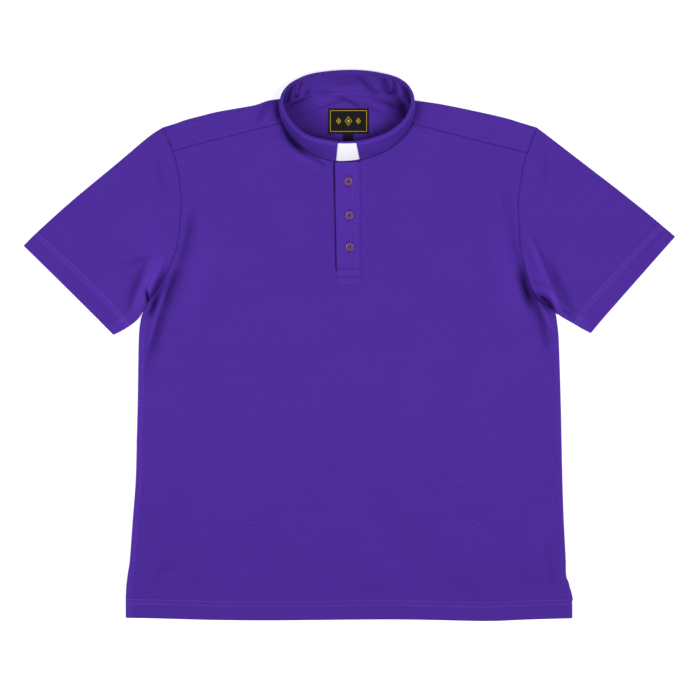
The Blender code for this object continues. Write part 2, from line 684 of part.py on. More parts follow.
def make_collar(knit, white):
    """Stand collar: outer band folded over the rim, inner band, and the white tab between them."""
    tab_depth = BAND + BAND_GAP
    inner_depth = tab_depth + TAB + BAND_GAP
    leg_depth = inner_depth + BAND + BAND_GAP
    full_depth = leg_depth + BAND
    high = COLLAR_HEIGHT
    inner_high = high - 3.2
    turn_end = high - RIM_TURN
    outer = [
        (0.0, 0.0), (0.0, 12.0), (0.0, 25.0), (0.0, high - 2.6), (0.8, high - 0.7),
        (full_depth / 2, high), (full_depth - 0.8, high - 0.7), (full_depth, high - 2.6),
        (full_depth, turn_end), (leg_depth, turn_end), (leg_depth, inner_high),
        (leg_depth - 0.6, high - 1.4), (BAND + 0.6, high - 1.4), (BAND, inner_high),
        (BAND, turn_end), (BAND, 25.0), (BAND, 12.0), (BAND, 0.0),
    ]
    tab_ends = [(ring_part(TAB_FOOT[k]), ring_part(TAB_TOP[k])) for k in (0, 1)]
    sweep("collar_outer", outer, tab_ends[0], tab_ends[1], knit)
    heights = [0.0, 12.0, 25.0, turn_end, inner_high]
    inner = [(inner_depth, v) for v in heights] + [(inner_depth + BAND, v) for v in heights[::-1]]
    slit = ring_part(PLACKET_TOP_EDGES[0] - 2)
    sweep("collar_inner", inner, (slit, slit), (slit + 0.998, slit + 0.998), knit)
    heights[0] = 0.8
    tab = [(tab_depth, v) for v in heights] + [(tab_depth + TAB, v) for v in heights[::-1]]
    wing = TAB_WING / path_lengths(RING[:, :2])[-1]
    right = tab_ends[1][0] - wing
    left = tab_ends[0][0] + wing
    sweep("collar_tab", tab, (right - 1, right - 1), (left, left), white)


def make_placket(knit, foot_edge):
    """Two placket strips at the front slit, the upper one flush in its window."""
    heights = np.concatenate([[foot_edge + SEAM_SHIFT], np.linspace(106, PLACKET_HIGH, 9)])
    parts = np.linspace(0, 1, 5)
    left = placket_edge(-1, heights)
    right = placket_edge(1, heights)
    across = left + parts[:, None] * (right - left)
    plan = np.stack([across, np.broadcast_to(heights, across.shape)], axis=-1)
    wall("placket_upper", with_height(plan, top_height(plan) + PLACKET_RISE), knit)
    heights = np.linspace(foot_edge - 4, PLACKET_HIGH, 9)
    left = placket_edge(-1, heights) + 3
    right = placket_edge(1, heights) - 3
    across = left + parts[:, None] * (right - left)
    plan = np.stack([across, np.broadcast_to(heights, across.shape)], axis=-1)
    wall("placket_under", with_height(plan, top_height(plan) - CLOTH - SEAM_SHIFT), knit)


def button_mesh(plastic):
    """Turned button with a raised rim, and four holes through its sunk middle."""
    profile = [
        (0.0, 0.0), (BUTTON_RADIUS - 1.0, 0.0), (BUTTON_RADIUS - 0.3, 0.5), (BUTTON_RADIUS, 1.2),
        (BUTTON_RADIUS - 0.25, 1.9), (BUTTON_RADIUS - 0.9, 2.3), (BUTTON_RADIUS - 1.6, 2.0),
        (BUTTON_RADIUS - 2.3, 1.5), (0.0, 1.5),
    ]
    segments = 28
    points = [np.array((0.0, 0.0, profile[0][1])), np.array((0.0, 0.0, profile[-1][1]))]
    for radius, height in profile[1:-1]:
        for k in range(segments):
            angle = 2 * math.pi * k / segments
            points.append(np.array((radius * math.cos(angle), radius * math.sin(angle), height)))
    rings = len(profile) - 2
    faces = []
    for k in range(segments):
        after = (k + 1) % segments
        faces.append([0, 2 + after, 2 + k])
        top = 2 + (rings - 1) * segments
        faces.append([1, top + k, top + after])
        for r in range(rings - 1):
            low = 2 + r * segments
            faces.append([low + k, low + after, low + segments + after, low + segments + k])
    blank = add_piece("button_blank", np.array(points), faces, plastic)
    for dx in (-0.5, 0.5):
        for dy in (-0.5, 0.5):
            bpy.ops.mesh.primitive_cylinder_add(
                vertices=10, radius=BUTTON_HOLE_RADIUS * MM, depth=8 * MM,
                location=(dx * BUTTON_HOLE_SPACING * MM, dy * BUTTON_HOLE_SPACING * MM, 0))
            drill = bpy.context.object
            cut = blank.modifiers.new("hole", "BOOLEAN")
            cut.operation = "DIFFERENCE"
            cut.object = drill
            drill.hide_render = True
            drill.display_type = "WIRE"
            drills.append(drill)
    bpy.context.view_layer.update()
    cut_blank = blank.evaluated_get(bpy.context.evaluated_depsgraph_get())
    mesh = bpy.data.meshes.new_from_object(cut_blank)
    mesh.name = "button"
    for extra in drills + [blank]:
        bpy.data.objects.remove(extra)
    return mesh


def make_buttons(plastic):
    """Three buttons down the placket."""
    mesh = button_mesh(plastic)
    for number, (x, y) in enumerate(BUTTON_CENTRES, start=1):
        around = np.array([(x + dx, y + dy) for dx in (-6, 0, 6) for dy in (-6, 0, 6)])
        base = top_height(around).max() + PLACKET_RISE + SEAM_GAP
        button = bpy.data.objects.new(f"button_{number}", mesh)
        button.location = (x * MM, y * MM, base * MM)
        bpy.context.scene.collection.objects.link(button)
        button.parent = shirt


def make_inside_patch(name, box, material):
    """Flat woven patch lying on the inside of the yoke."""
    left, low, right, high = box
    across = np.linspace(left, right, 4)
    heights = np.linspace(low, high, 3)
    plan = np.stack(np.meshgrid(across, heights, indexing="ij"), axis=-1)
    wall(name, with_height(plan, CLOTH + SEAM_GAP + LABEL), material, thickness=LABEL)


for leftover in list(bpy.data.objects):
    bpy.data.objects.remove(leftover)
drills = []
shirt = bpy.data.objects.new("shirt", None)
bpy.context.scene.collection.objects.link(shirt)
purple = make_material("purple knit", 0.85)
collar_purple = make_material("purple collar", 0.85)
window_foot = make_front(purple)
make_back(purple)
make_yoke(purple)
make_sleeve("sleeve_left", -1, purple)
make_sleeve("sleeve_right", 1, purple)
make_collar(collar_purple, make_material("white tab", 0.5))
make_placket(purple, window_foot)
make_buttons(make_material("button plastic", 0.35))
label_weave = make_material("label weave", 0.7)
make_inside_patch("neck_label", LABEL_BOX, label_weave)
make_inside_patch("size_tab", SIZE_TAB_BOX, label_weave)
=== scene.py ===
import math

import bpy
import numpy as np
from mathutils import Matrix


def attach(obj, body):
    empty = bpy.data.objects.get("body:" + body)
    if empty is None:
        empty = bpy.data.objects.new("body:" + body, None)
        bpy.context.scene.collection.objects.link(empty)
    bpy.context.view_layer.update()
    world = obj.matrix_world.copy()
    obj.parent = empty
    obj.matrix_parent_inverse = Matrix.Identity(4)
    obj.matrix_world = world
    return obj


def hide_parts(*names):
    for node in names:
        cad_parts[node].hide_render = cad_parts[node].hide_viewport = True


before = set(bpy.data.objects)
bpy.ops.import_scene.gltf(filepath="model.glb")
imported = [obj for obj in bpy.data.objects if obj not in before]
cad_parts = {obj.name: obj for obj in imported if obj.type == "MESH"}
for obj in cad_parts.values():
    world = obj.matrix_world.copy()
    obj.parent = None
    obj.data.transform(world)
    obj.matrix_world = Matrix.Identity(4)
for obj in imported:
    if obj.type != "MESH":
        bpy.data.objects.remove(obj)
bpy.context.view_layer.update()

# Stage
# The shirt lies on a white board in a pale tent, between two soft boxes that stand high on its left
# and right, a little towards its hem. The camera looks straight down. Sizes are millimetres, which MM
# makes metres.
MM = 0.001
CAMERA_POINT = (0.9, -7.1, 2600.0)
CAMERA_LENS = 94.17
SENSOR = 36.0
TENT_LIGHT = 0.26
BOARD_GLOW = 0.42
SOFT_LIGHTS = [  # name, compass angle from the right, angle above the board, breadth, share of the light
    ("right box", -28.0, 60.0, 26.0, 0.45),
    ("left box", 208.0, 58.0, 28.0, 0.34),
]
FLOOR_SIZE = 6000.0
FLOOR_LEVEL = -0.05


def colour(code):
    """Linear colour from an sRGB hex value."""
    values = [int(code[k:k + 2], 16) / 255 for k in (0, 2, 4)]
    return [v / 12.92 if v <= 0.04045 else ((v + 0.055) / 1.055) ** 2.4 for v in values] + [1.0]


def new_material(name, base, roughness, **sockets):
    """Material with its shader's plain sockets set."""
    material = bpy.data.materials.new(name)
    material.use_nodes = True
    shader = material.node_tree.nodes["Principled BSDF"]
    shader.inputs["Base Color"].default_value = colour(base)
    shader.inputs["Roughness"].default_value = roughness
    for socket, value in sockets.items():
        shader.inputs[socket.replace("_", " ")].default_value = value
    return material


def add_object(name, data):
    """Object in the scene that holds a mesh, a light or a camera."""
    made = bpy.data.objects.new(name, data)
    bpy.context.scene.collection.objects.link(made)
    return made


def add_mesh(name, points, faces, materials):
    """Object from points in millimetres."""
    mesh = bpy.data.meshes.new(name)
    mesh.from_pydata([tuple(point) for point in np.asarray(points, float) * MM], [], faces)
    for material in materials:
        mesh.materials.append(material)
    return add_object(name, mesh)


camera_data = bpy.data.cameras.new("camera")
camera_data.lens = CAMERA_LENS
camera_data.sensor_width = SENSOR
camera = add_object("camera", camera_data)
camera.location = [value * MM for value in CAMERA_POINT]
bpy.context.scene.camera = camera
bpy.context.scene.view_settings.view_transform = "Standard"

# White painted board, matt, lit a little from below so that shadows on it stay pale
board = new_material("white painted board", "F8F8F8", 0.9, Specular_IOR_Level=0.1,
                     Emission_Strength=BOARD_GLOW)
half = FLOOR_SIZE / 2
corners = [(-half, -half), (half, -half), (half, half), (-half, half)]
floor = add_mesh("floor", [(x, y, FLOOR_LEVEL) for x, y in corners], [[0, 1, 2, 3]], [board])

world = bpy.data.worlds.new("tent")
world.use_nodes = True
tent = world.node_tree.nodes["Background"]
tent.inputs["Color"].default_value = (1.0, 1.0, 1.0, 1.0)
tent.inputs["Strength"].default_value = TENT_LIGHT
bpy.context.scene.world = world

for name, compass, above, breadth, share in SOFT_LIGHTS:
    light = bpy.data.lights.new(name, "SUN")
    light.angle = math.radians(breadth)
    light.energy = share * math.pi / math.sin(math.radians(above))
    lamp = add_object(name, light)
    lamp.location = (0, 0, 2)
    lamp.rotation_euler = (0, math.radians(90 - above), math.radians(compass))

# Back panel
# One piece of fine cotton knit from the hem to the back yoke seam. It lies flat on the table, curls
# up at the side seams to meet the front, and has a turned-up hem sewn by a twin needle.
CLOTH = 1.2
SEAM_GAP = 0.3
SEAM_SHIFT = -0.3
SIDE_PART = 0.2
EDGE_CURL = 3.5
CURL_STEPS = [0.15, 0.5, 1.1, 1.8, 2.6, 3.5]  # distances in from an edge, close together round its curl
EDGE_SEAM_HEIGHT = 2.75
BACK_YOKE_SEAM = 254.0
BACK_COLUMNS = 74
BACK_HEM_SHIFT = 0.6
HEM_FOOT = -388.0
BODY_SIDES = [  # height, left edge, right edge
    (-388, -317.2, 316.4), (-362, -317.2, 315.8), (-350, -316.9, 313.6), (-338, -316.1, 311.6),
    (-331, -315.2, 308.4), (-322, -314, 307.2), (-305, -311.4, 307), (-248, -307.2, 304.1),
    (-192, -303, 302.2), (-135, -301.5, 301), (-78, -300.1, 299.8),
    (7, -298.7, 297), (35, -296, 294.2), (47, -292.3, 292),
]
ARMHOLES = [  # height, left seam, right seam
    (47, -292.3, 292), (54, -288.6, 282.6), (62, -283.6, 271.4), (68, -279.6, 264.8),
    (78, -272.4, 258.4), (98, -261.4, 252.4), (121, -251.2, 245.4), (145, -243.6, 241.6),
    (177, -239.9, 240), (210, -238.3, 239.9), (254, -244.7, 246.5), (275, -250.7, 252.9),
    (292, -257.3, 258.9), (308.5, -264.9, 265.8),
]
UNDERARM = BODY_SIDES[-1][0]
HEM = [  # across, height
    (-325, -386.5), (-263.5, -388), (-195.6, -389.8), (-114, -390.6), (0.9, -389.5),
    (91.5, -389.5), (193.3, -391.4), (250, -389.5), (325, -387),
]
HEM_ROWS = (20.0, 26.4)
HEM_LINES = [0.0, 0.4, 1.2, 3.0, 8.0, 14.0, 18.4, 19.3, 20.0, 20.7, 21.6, 23.2, 24.8, 25.7, 26.4,
             27.1, 28.0, 30.0]
PANEL_LEVELS = [-356.0, -330.0, -290.0, -5.0, 150.0, 254.0]
SEAM_STITCH = 6.5
KNIT_LOOP = 1.2
KNIT_FACE = "5430A4"
KNIT_GROOVE = "44248A"
# colour that the painted shade in folds and hollows goes towards
KNIT_PAINTED_SHADE = "100140"
KNIT_FUZZ = "9B86D8"
PAINTED_SHADING_SHARE = 0.81  # part of the painted shading below that the cloth's colour takes up
BACK_FOLDS = [  # start, bend and end, each across and up, then left and right width, and height
    (-262, 80, -240, 40, -205, 5, 9, 14, 0.9),
    (-255, 110, -228, 90, -190, 82, 10, 12, 0.7),
    (258, 84, 236, 38, 214, -22, 14, 9, 0.9),
    (247, 118, 222, 104, 178, 98, 11, 9, 0.6),
    (-120, 246, -96, 214, -88, 176, 13, 10, 0.7),
    (92, 248, 80, 222, 84, 190, 10, 14, 0.6),
    (-284, -262, -262, -300, -258, -346, 12, 9, 0.6),
    (238, -246, 258, -290, 262, -340, 10, 14, 0.7),
    (-70, -120, -20, -150, 40, -152, 20, 15, 0.5),
]


def smooth_path(points, step=2.0, closed=False):
    """Points a step apart along a smooth curve through the given ones."""
    points = np.array(points, float)
    if closed:
        padded = np.vstack([points[-1:], points, points[:2]])
    else:
        padded = np.vstack([2 * points[0] - points[1], points, 2 * points[-1] - points[-2]])
    pieces = []
    for before, start, end, after in zip(padded, padded[1:], padded[2:], padded[3:]):
        count = max(2, math.ceil(np.linalg.norm(end[:2] - start[:2]) / step))
        t = np.arange(count)[:, None] / count
        pieces.append(0.5 * (2 * start + (end - before) * t
                             + (2 * before - 5 * start + 4 * end - after) * t ** 2
                             + (3 * start - before - 3 * end + after) * t ** 3))
    if not closed:
        pieces.append(points[-1:])
    return np.vstack(pieces)


def pairs(first, second):
    """Pairs of two values, such as places across and up; either may be one number for them all."""
    return np.stack(np.broadcast_arrays(first, second), axis=-1)


def unit(vectors):
    """Vectors made one long."""
    return vectors / np.linalg.norm(vectors, axis=-1, keepdims=True)


def path_lengths(path):
    """Length along a path at each of its points."""
    return np.concatenate([[0.0], np.cumsum(np.linalg.norm(np.diff(path, axis=0), axis=1))])


def along(path, wanted):
    """Points of a path at the wanted lengths along it."""
    lengths = path_lengths(path[:, :2])
    return np.stack([np.interp(wanted, lengths, path[:, k]) for k in range(path.shape[1])], axis=-1)


def nearest(path, xy):
    """Gap in plan from each point to a path, over zero on its left, and how far along it, 0 to 1."""
    flat = xy.reshape(-1, 2)
    start = path[:-1]
    run = path[1:] - start
    square = np.maximum((run ** 2).sum(axis=1), 1e-9)
    gaps = np.empty(len(flat))
    parts = np.empty(len(flat))
    for low in range(0, len(flat), 3000):
        chunk = slice(low, low + 3000)
        offset = flat[chunk, None] - start
        t = np.clip((offset * run).sum(axis=-1) / square, 0, 1)
        away = offset - t[..., None] * run
        squares = (away ** 2).sum(axis=-1)
        index = squares.argmin(axis=1)
        pick = np.arange(len(index))
        turned = run[index, 0] * away[pick, index, 1] - run[index, 1] * away[pick, index, 0]
        gaps[chunk] = np.sqrt(squares[pick, index]) * np.where(turned < 0, -1, 1)
        parts[chunk] = (index + t[pick, index]) / len(run)
    return gaps.reshape(xy.shape[:-1]), parts.reshape(xy.shape[:-1])


def gap_to(path, xy):
    """Distance in plan from each point to a path."""
    return np.abs(nearest(path, xy)[0])


def ease(value):
    """Smooth step from 0 to 1."""
    value = np.clip(value, 0, 1)
    return value * value * (3 - 2 * value)


def bump(value, width):
    """Round bump, 1 where the value is 0."""
    return np.exp(-(value / width) ** 2)


def spread(values, step):
    """The values, with others between them no more than a step apart."""
    parts = []
    for start, end in zip(values, values[1:]):
        count = max(1, math.ceil(abs(end - start) / step - 1e-6))
        parts.append(start + (end - start) * np.arange(count) / count)
    return np.concatenate(parts + [[values[-1]]])


def edge_at(path, height):
    """Where an outline is across at a height."""
    order = path[:, 1].argsort()
    return np.interp(height, path[order, 1], path[order, 0])


def height_at(path, across):
    """How high an outline is at a place across."""
    order = path[:, 0].argsort()
    return np.interp(across, path[order, 0], path[order, 1])


def curl(inset):
    """How far round its curl the cloth is: 0 on the outline, 1 where it lies flat."""
    return np.sqrt(1 - (1 - np.clip(inset / EDGE_CURL, 0, 1)) ** 2)


def fold_sum(rows, xy):
    """Ridges and troughs at points.

    Each row has a start, a bend and an end, a left and a right width as seen along it, and a height.
    A side whose width is below zero falls away at once from a sharp line, the others are round.
    """
    total = np.zeros(xy.shape[:-1])
    t = np.linspace(0, 1, 16)[:, None]
    for x0, y0, xb, yb, x1, y1, left, right, height in rows:
        path = (1 - t) ** 2 * (x0, y0) + 2 * t * (1 - t) * np.array((xb, yb)) + t ** 2 * (x1, y1)
        reach = max(abs(left), abs(right))
        near = ((xy > path.min(axis=0) - reach) & (xy < path.max(axis=0) + reach)).all(axis=-1)
        if not near.any():
            continue
        gap, part = nearest(path, xy[near])
        width = np.where(gap > 0, left, right)
        away = np.clip(np.abs(gap / width), 0, 1)
        across = np.where(width < 0, (1 - away) ** 2, np.cos(np.pi / 2 * away) ** 2)
        total[near] += height * across * ease(part / 0.4) * ease((1 - part) / 0.4)
    return total


def fold_painted_shading(form):
    """Painted shading from the folds' height: painted shade in troughs, a little painted highlight on
    ridges.
    """
    return 0.13 * np.clip(-form, 0, 8) - 0.05 * np.clip(form, 0, 5)


def hem_form(up, rows):
    """Relief of a turned-up hem at a distance up from its edge: thicker, and pulled in at its rows."""
    form = 0.55 * (1 - ease((up - rows[1] - 0.4) / 1.6)) + 0.15 * bump(up - (rows[0] + rows[1]) / 2, 2.2)
    for row in rows:
        form = form - 0.3 * bump(up - row, 0.9)
    return form


def grid_normals(outer, ring, turn):
    """Unit normals of a grid of points, turned to the cloth's outer side."""
    first = np.gradient(outer, axis=0, edge_order=2)
    if ring:
        second = np.roll(outer, -1, axis=1) - np.roll(outer, 1, axis=1)
    else:
        second = np.gradient(outer, axis=1, edge_order=2)
    return unit(turn * np.cross(first, second))


def set_cloth_map(mesh, grain):
    """UV map in metres along the knit, from a pair for each point."""
    corners = np.empty(len(mesh.loops), int)
    mesh.loops.foreach_get("vertex_index", corners)
    layer = mesh.uv_layers.new(name="cloth")
    layer.data.foreach_set("uv", (grain[corners] * MM).ravel())


def add_cloth(name, points, faces, grain, material, knit_tone_and_painted_shading=None):
    """Cloth object, smooth but for its cut edges, with its map along the knit and its painted shading."""
    used = np.unique([index for face in faces for index in face])
    place = np.zeros(len(points), int)
    place[used] = np.arange(len(used))
    piece = add_mesh(name, points[used], [[int(place[k]) for k in face] for face in faces], [material])
    piece.data.shade_smooth()
    piece.data.set_sharp_from_angle(angle=math.radians(65))
    set_cloth_map(piece.data, grain[used])
    # point attribute of painted shading: shade in folds and hollows above zero, highlight below zero
    if knit_tone_and_painted_shading is not None:
        depth = piece.data.attributes.new("knit_tone_and_painted_shading", "FLOAT", "POINT")
        depth.data.foreach_set("value", np.minimum(PAINTED_SHADING_SHARE * knit_tone_and_painted_shading[used], 1.0).astype(np.float32))
    return piece


def wall(name, outer, grain, material, thickness=CLOTH, keep=None, ring=False, turn=1, knit_tone_and_painted_shading=None):
    """Closed wall of cloth under a grid of outer points; keep says which cells of the grid it has."""
    rows, columns = outer.shape[:2]
    inner = outer - thickness * grid_normals(outer, ring, turn)
    points = np.concatenate([outer.reshape(-1, 3), inner.reshape(-1, 3)])
    under = rows * columns
    faces = []
    edges = set()
    for i in range(rows - 1):
        for j in range(columns if ring else columns - 1):
            if keep is not None and not keep[i, j]:
                continue
            after = (j + 1) % columns
            face = [i * columns + j, (i + 1) * columns + j, (i + 1) * columns + after, i * columns + after]
            if turn < 0:
                face.reverse()
            faces.append(face)
            faces.append([index + under for index in reversed(face)])
            edges.update(zip(face, face[1:] + face[:1]))
    for a, b in edges:
        if (b, a) not in edges:
            faces.append([b, a, a + under, b + under])
    grain = grain.reshape(-1, 2)
    if knit_tone_and_painted_shading is not None:
        knit_tone_and_painted_shading = np.concatenate([knit_tone_and_painted_shading.ravel(), knit_tone_and_painted_shading.ravel()])
    return add_cloth(name, points, faces, np.concatenate([grain, grain]), material, knit_tone_and_painted_shading)


def with_height(xy, height):
    """Plan points with a height each."""
    return np.concatenate([xy, np.broadcast_to(height, xy.shape[:-1])[..., None]], axis=-1)


def add_node(tree, kind, sockets=None, **settings):
    """Node with its settings; sockets gives its inputs, each a value or an output that feeds it."""
    made = tree.nodes.new(kind)
    for name, value in settings.items():
        setattr(made, name, value)
    for name, value in (sockets or {}).items():
        if isinstance(value, bpy.types.NodeSocket):
            tree.links.new(value, made.inputs[name])
        else:
            made.inputs[name].default_value = value
    return made


def maths_on(tree):
    """Function that adds a maths node to a tree and gives its output."""
    def work(operation, first, second=0.0):
        return add_node(tree, "ShaderNodeMath", {0: first, 1: second}, operation=operation).outputs[0]
    return work


def mix_colours(tree, factor, low, high, **settings):
    """Output that goes from a low to a high colour, each a value or an output, as the factor rises."""
    sockets = {0: factor, 6: low, 7: high}
    return add_node(tree, "ShaderNodeMix", sockets, data_type="RGBA", **settings).outputs[2]


def feed(material, socket, output):
    """Have an output feed a socket of a material's shader."""
    tree = material.node_tree
    tree.links.new(output, tree.nodes["Principled BSDF"].inputs[socket])


def knit_material(name):
    """Combed cotton in a fine plain knit, piece dyed, matt with a little fuzz.

    Its columns of loops are drawn 1.2 mm apart, about twice as coarse as they are, so that they show.
    Dye and yarn vary a little from course to course, which gives faint level streaks. A point attribute
    paints shade and light on it: the colour goes deeper where the attribute is above zero, painted shade in
    folds and hollows, and paler where it is below, painted highlight on ridges and edges.
    """
    material = new_material(name, KNIT_FACE, 0.8, Specular_IOR_Level=0.08, Sheen_Weight=0.05,
                            Sheen_Roughness=0.45, Sheen_Tint=colour(KNIT_FUZZ))
    tree = material.node_tree
    work = maths_on(tree)
    place = add_node(tree, "ShaderNodeUVMap", uv_map="cloth").outputs["UV"]
    split = add_node(tree, "ShaderNodeSeparateXYZ", {0: place})
    column = work("PINGPONG", work("DIVIDE", split.outputs["X"], KNIT_LOOP * MM), 0.5)
    course = work("DIVIDE", split.outputs["Y"], 0.8 * KNIT_LOOP * MM)
    stitch = work("SINE", work("MULTIPLY", work("ADD", course, column), 2 * math.pi))
    loops = work("ADD", work("MULTIPLY", stitch, 0.35), 0.5)
    loops = work("MULTIPLY", loops, work("POWER", work("MULTIPLY", column, 2.0), 0.5))
    mottle = add_node(tree, "ShaderNodeTexNoise", {"Vector": place, "Scale": 300.0, "Detail": 3.0,
                                                   "Roughness": 0.6})
    stretched = add_node(tree, "ShaderNodeMapping", {"Vector": place, "Scale": (9.0, 210.0, 1.0)})
    streaks = add_node(tree, "ShaderNodeTexNoise", {"Vector": stretched.outputs[0], "Scale": 1.0,
                                                    "Detail": 2.0})
    clouds = add_node(tree, "ShaderNodeTexNoise", {"Vector": place, "Scale": 14.0, "Detail": 2.0})
    mixed = work("ADD", work("MULTIPLY", mottle.outputs["Fac"], 0.75),
                 work("MULTIPLY", streaks.outputs["Fac"], 0.2))
    mixed = work("ADD", mixed, work("MULTIPLY", clouds.outputs["Fac"], 0.2))
    mixed = work("ADD", mixed, work("MULTIPLY", loops, 0.25))
    knit_tone_and_painted_shading = add_node(tree, "ShaderNodeMapRange", {"Value": mixed, "From Min": 0.35, "From Max": 1.0})
    dye = mix_colours(tree, knit_tone_and_painted_shading.outputs[0], colour(KNIT_GROOVE), colour(KNIT_FACE))
    # painted shading: the point attribute takes the colour towards the painted shade colour above zero, and
    # past the plain colour, a painted highlight, below zero
    depth = add_node(tree, "ShaderNodeAttribute", attribute_name="knit_tone_and_painted_shading").outputs["Fac"]
    feed(material, "Base Color", mix_colours(tree, depth, dye, colour(KNIT_PAINTED_SHADE), clamp_factor=False))
    relief = work("ADD", work("MULTIPLY", loops, 0.6), work("MULTIPLY", mottle.outputs["Fac"], 0.8))
    raised = add_node(tree, "ShaderNodeBump", {"Height": relief, "Strength": 0.35, "Distance": 0.0003})
    feed(material, "Normal", raised.outputs[0])
    return material


def stitch_tree():
    """Geometry Nodes tree that lays a rounded length of thread at each step along its paths."""
    tree = bpy.data.node_groups.new("row of stitches", "GeometryNodeTree")
    for socket, kind in (("Geometry", "NodeSocketGeometry"), ("Pitch", "NodeSocketFloat"),
                         ("Stitch Length", "NodeSocketFloat"), ("Thread Radius", "NodeSocketFloat"),
                         ("Thread", "NodeSocketMaterial")):
        tree.interface.new_socket(socket, in_out="INPUT", socket_type=kind)
    tree.interface.new_socket("Geometry", in_out="OUTPUT", socket_type="NodeSocketGeometry")
    sizes = add_node(tree, "NodeGroupInput").outputs
    path = add_node(tree, "GeometryNodeMeshToCurve", {"Mesh": sizes["Geometry"]})
    steps = add_node(tree, "GeometryNodeCurveToPoints", {"Curve": path.outputs[0]}, mode="LENGTH")
    tree.links.new(sizes["Pitch"], steps.inputs["Length"])
    lay = add_node(tree, "FunctionNodeAlignRotationToVector", {"Vector": steps.outputs["Tangent"]},
                   axis="X")
    thread = add_node(tree, "GeometryNodeMeshUVSphere", {"Segments": 6, "Rings": 4, "Radius": 1.0})
    half_length = add_node(tree, "ShaderNodeMath", {0: sizes["Stitch Length"], 1: 0.5},
                           operation="MULTIPLY")
    size = add_node(tree, "ShaderNodeCombineXYZ", {"X": half_length.outputs[0],
                                                   "Y": sizes["Thread Radius"],
                                                   "Z": sizes["Thread Radius"]})
    laid = add_node(tree, "GeometryNodeInstanceOnPoints", {
        "Points": steps.outputs["Points"], "Instance": thread.outputs["Mesh"],
        "Rotation": lay.outputs[0], "Scale": size.outputs[0]})
    real = add_node(tree, "GeometryNodeRealizeInstances", {0: laid.outputs[0]})
    smooth = add_node(tree, "GeometryNodeSetShadeSmooth", {0: real.outputs[0]})
    dyed = add_node(tree, "GeometryNodeSetMaterial", {"Geometry": smooth.outputs[0],
                                                      "Material": sizes["Thread"]})
    add_node(tree, "NodeGroupOutput", {0: dyed.outputs[0]})
    return tree


def sew(name, rows, thread, pitch=3.0, length=2.3, radius=0.26):
    """One object of the thread that shows along rows of points, made plain mesh."""
    points = []
    edges = []
    for row in rows:
        edges += [(len(points) + k, len(points) + k + 1) for k in range(len(row) - 1)]
        points += [tuple(point) for point in np.asarray(row, float) * MM]
    guide = bpy.data.meshes.new(name)
    guide.from_pydata(points, edges, [])
    piece = add_object(name, guide)
    modifier = piece.modifiers.new("stitches", "NODES")
    modifier.node_group = STITCHES
    values = {"Pitch": pitch * MM, "Stitch Length": length * MM, "Thread Radius": radius * MM,
              "Thread": thread}
    for item in STITCHES.interface.items_tree:
        if item.in_out == "INPUT" and item.name in values:
            modifier[item.identifier] = values[item.name]
    bpy.context.view_layer.update()
    made = bpy.data.meshes.new_from_object(piece.evaluated_get(bpy.context.evaluated_depsgraph_get()))
    piece.modifiers.clear()
    piece.data = made
    made.name = name
    bpy.data.meshes.remove(guide)
    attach(piece, "root")
    return piece


def dress(piece, node):
    """Put a piece in the place of a solid, on the one body there is."""
    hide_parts(node)
    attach(piece, "root")


def table_path(rows, column):
    """Outline of one column of a table whose first column is the height."""
    return smooth_path([(row[column], row[0]) for row in rows])


BODY_EDGE = {side: table_path(BODY_SIDES, 1 if side < 0 else 2) for side in (-1, 1)}
ARMHOLE = {side: table_path(ARMHOLES, 1 if side < 0 else 2) for side in (-1, 1)}
HEM_EDGE = smooth_path(HEM)
STITCHES = stitch_tree()
body_knit = knit_material("purple cotton knit")

# Spun polyester sewing thread, dyed to match: the seams' is close to the cloth, the hems' is paler
seam_thread = new_material("purple polyester thread", "5833AC", 0.6, Specular_IOR_Level=0.15)
hem_thread = new_material("pale purple polyester thread", "7A5CC6", 0.6, Specular_IOR_Level=0.15)


def body_edge(side, height):
    """Edge of the front and back panels: the side seam, then just inside the armhole seam."""
    below = edge_at(BODY_EDGE[side], height)
    above = edge_at(ARMHOLE[side], height) - side * SEAM_SHIFT
    return np.where(height >= UNDERARM, above, below)


def nearer_gap(paths, xy):
    """Distance in plan from each point to the nearer of a left and a right path."""
    return np.minimum(gap_to(paths[-1], xy), gap_to(paths[1], xy))


def hem_distance(xy):
    """How far up from the hem's edge each point lies."""
    return xy[..., 1] - height_at(HEM_EDGE, xy[..., 0])


def rows_under(up, rows):
    """Rise of an under side at the stitched rows of its hem."""
    return sum(0.5 * bump(up - row, 0.9) for row in rows)


def back_height(xy):
    """Height of the under side of the back, which rests on the table but for its folds and rows."""
    inset = nearer_gap(BODY_EDGE, xy)
    flat = ease((inset - EDGE_CURL) / 6)
    under = EDGE_SEAM_HEIGHT * (1 - np.where(xy[..., 1] < UNDERARM + 3, curl(inset), 1))
    return under + flat * (fold_sum(BACK_FOLDS, xy) + rows_under(hem_distance(xy), HEM_ROWS))


def back_grid():
    """Plan points of the back, left to right and from the hem up."""
    near = np.array([0.0] + CURL_STEPS + [5.0, 7.0, 9.0, 11.0, 14.0])
    levels = np.concatenate([HEM_FOOT + np.array(HEM_LINES), spread(PANEL_LEVELS, 7.0)])
    across = []
    for level in levels:
        left = body_edge(-1, level) + near
        right = body_edge(1, level) - near[::-1]
        middle = np.linspace(left[-1], right[0], BACK_COLUMNS)[1:-1]
        across.append(np.concatenate([left, middle, right]))
    across = np.array(across).T
    lift = height_at(HEM_EDGE, across) + BACK_HEM_SHIFT - HEM_FOOT
    return pairs(across, levels + lift * (1 - ease((levels - HEM_FOOT) / 60)))


def twin_rows(height_of, shift, lift):
    """Rows of points for the thread along a hem, moved up the panel by a shift and lifted off it."""
    line = spread([-314.0, 313.0], 4.0)
    made = []
    for row in HEM_ROWS:
        xy = pairs(line, height_at(HEM_EDGE, line) + shift + row)
        made.append(with_height(xy, height_of(xy) + lift))
    return made


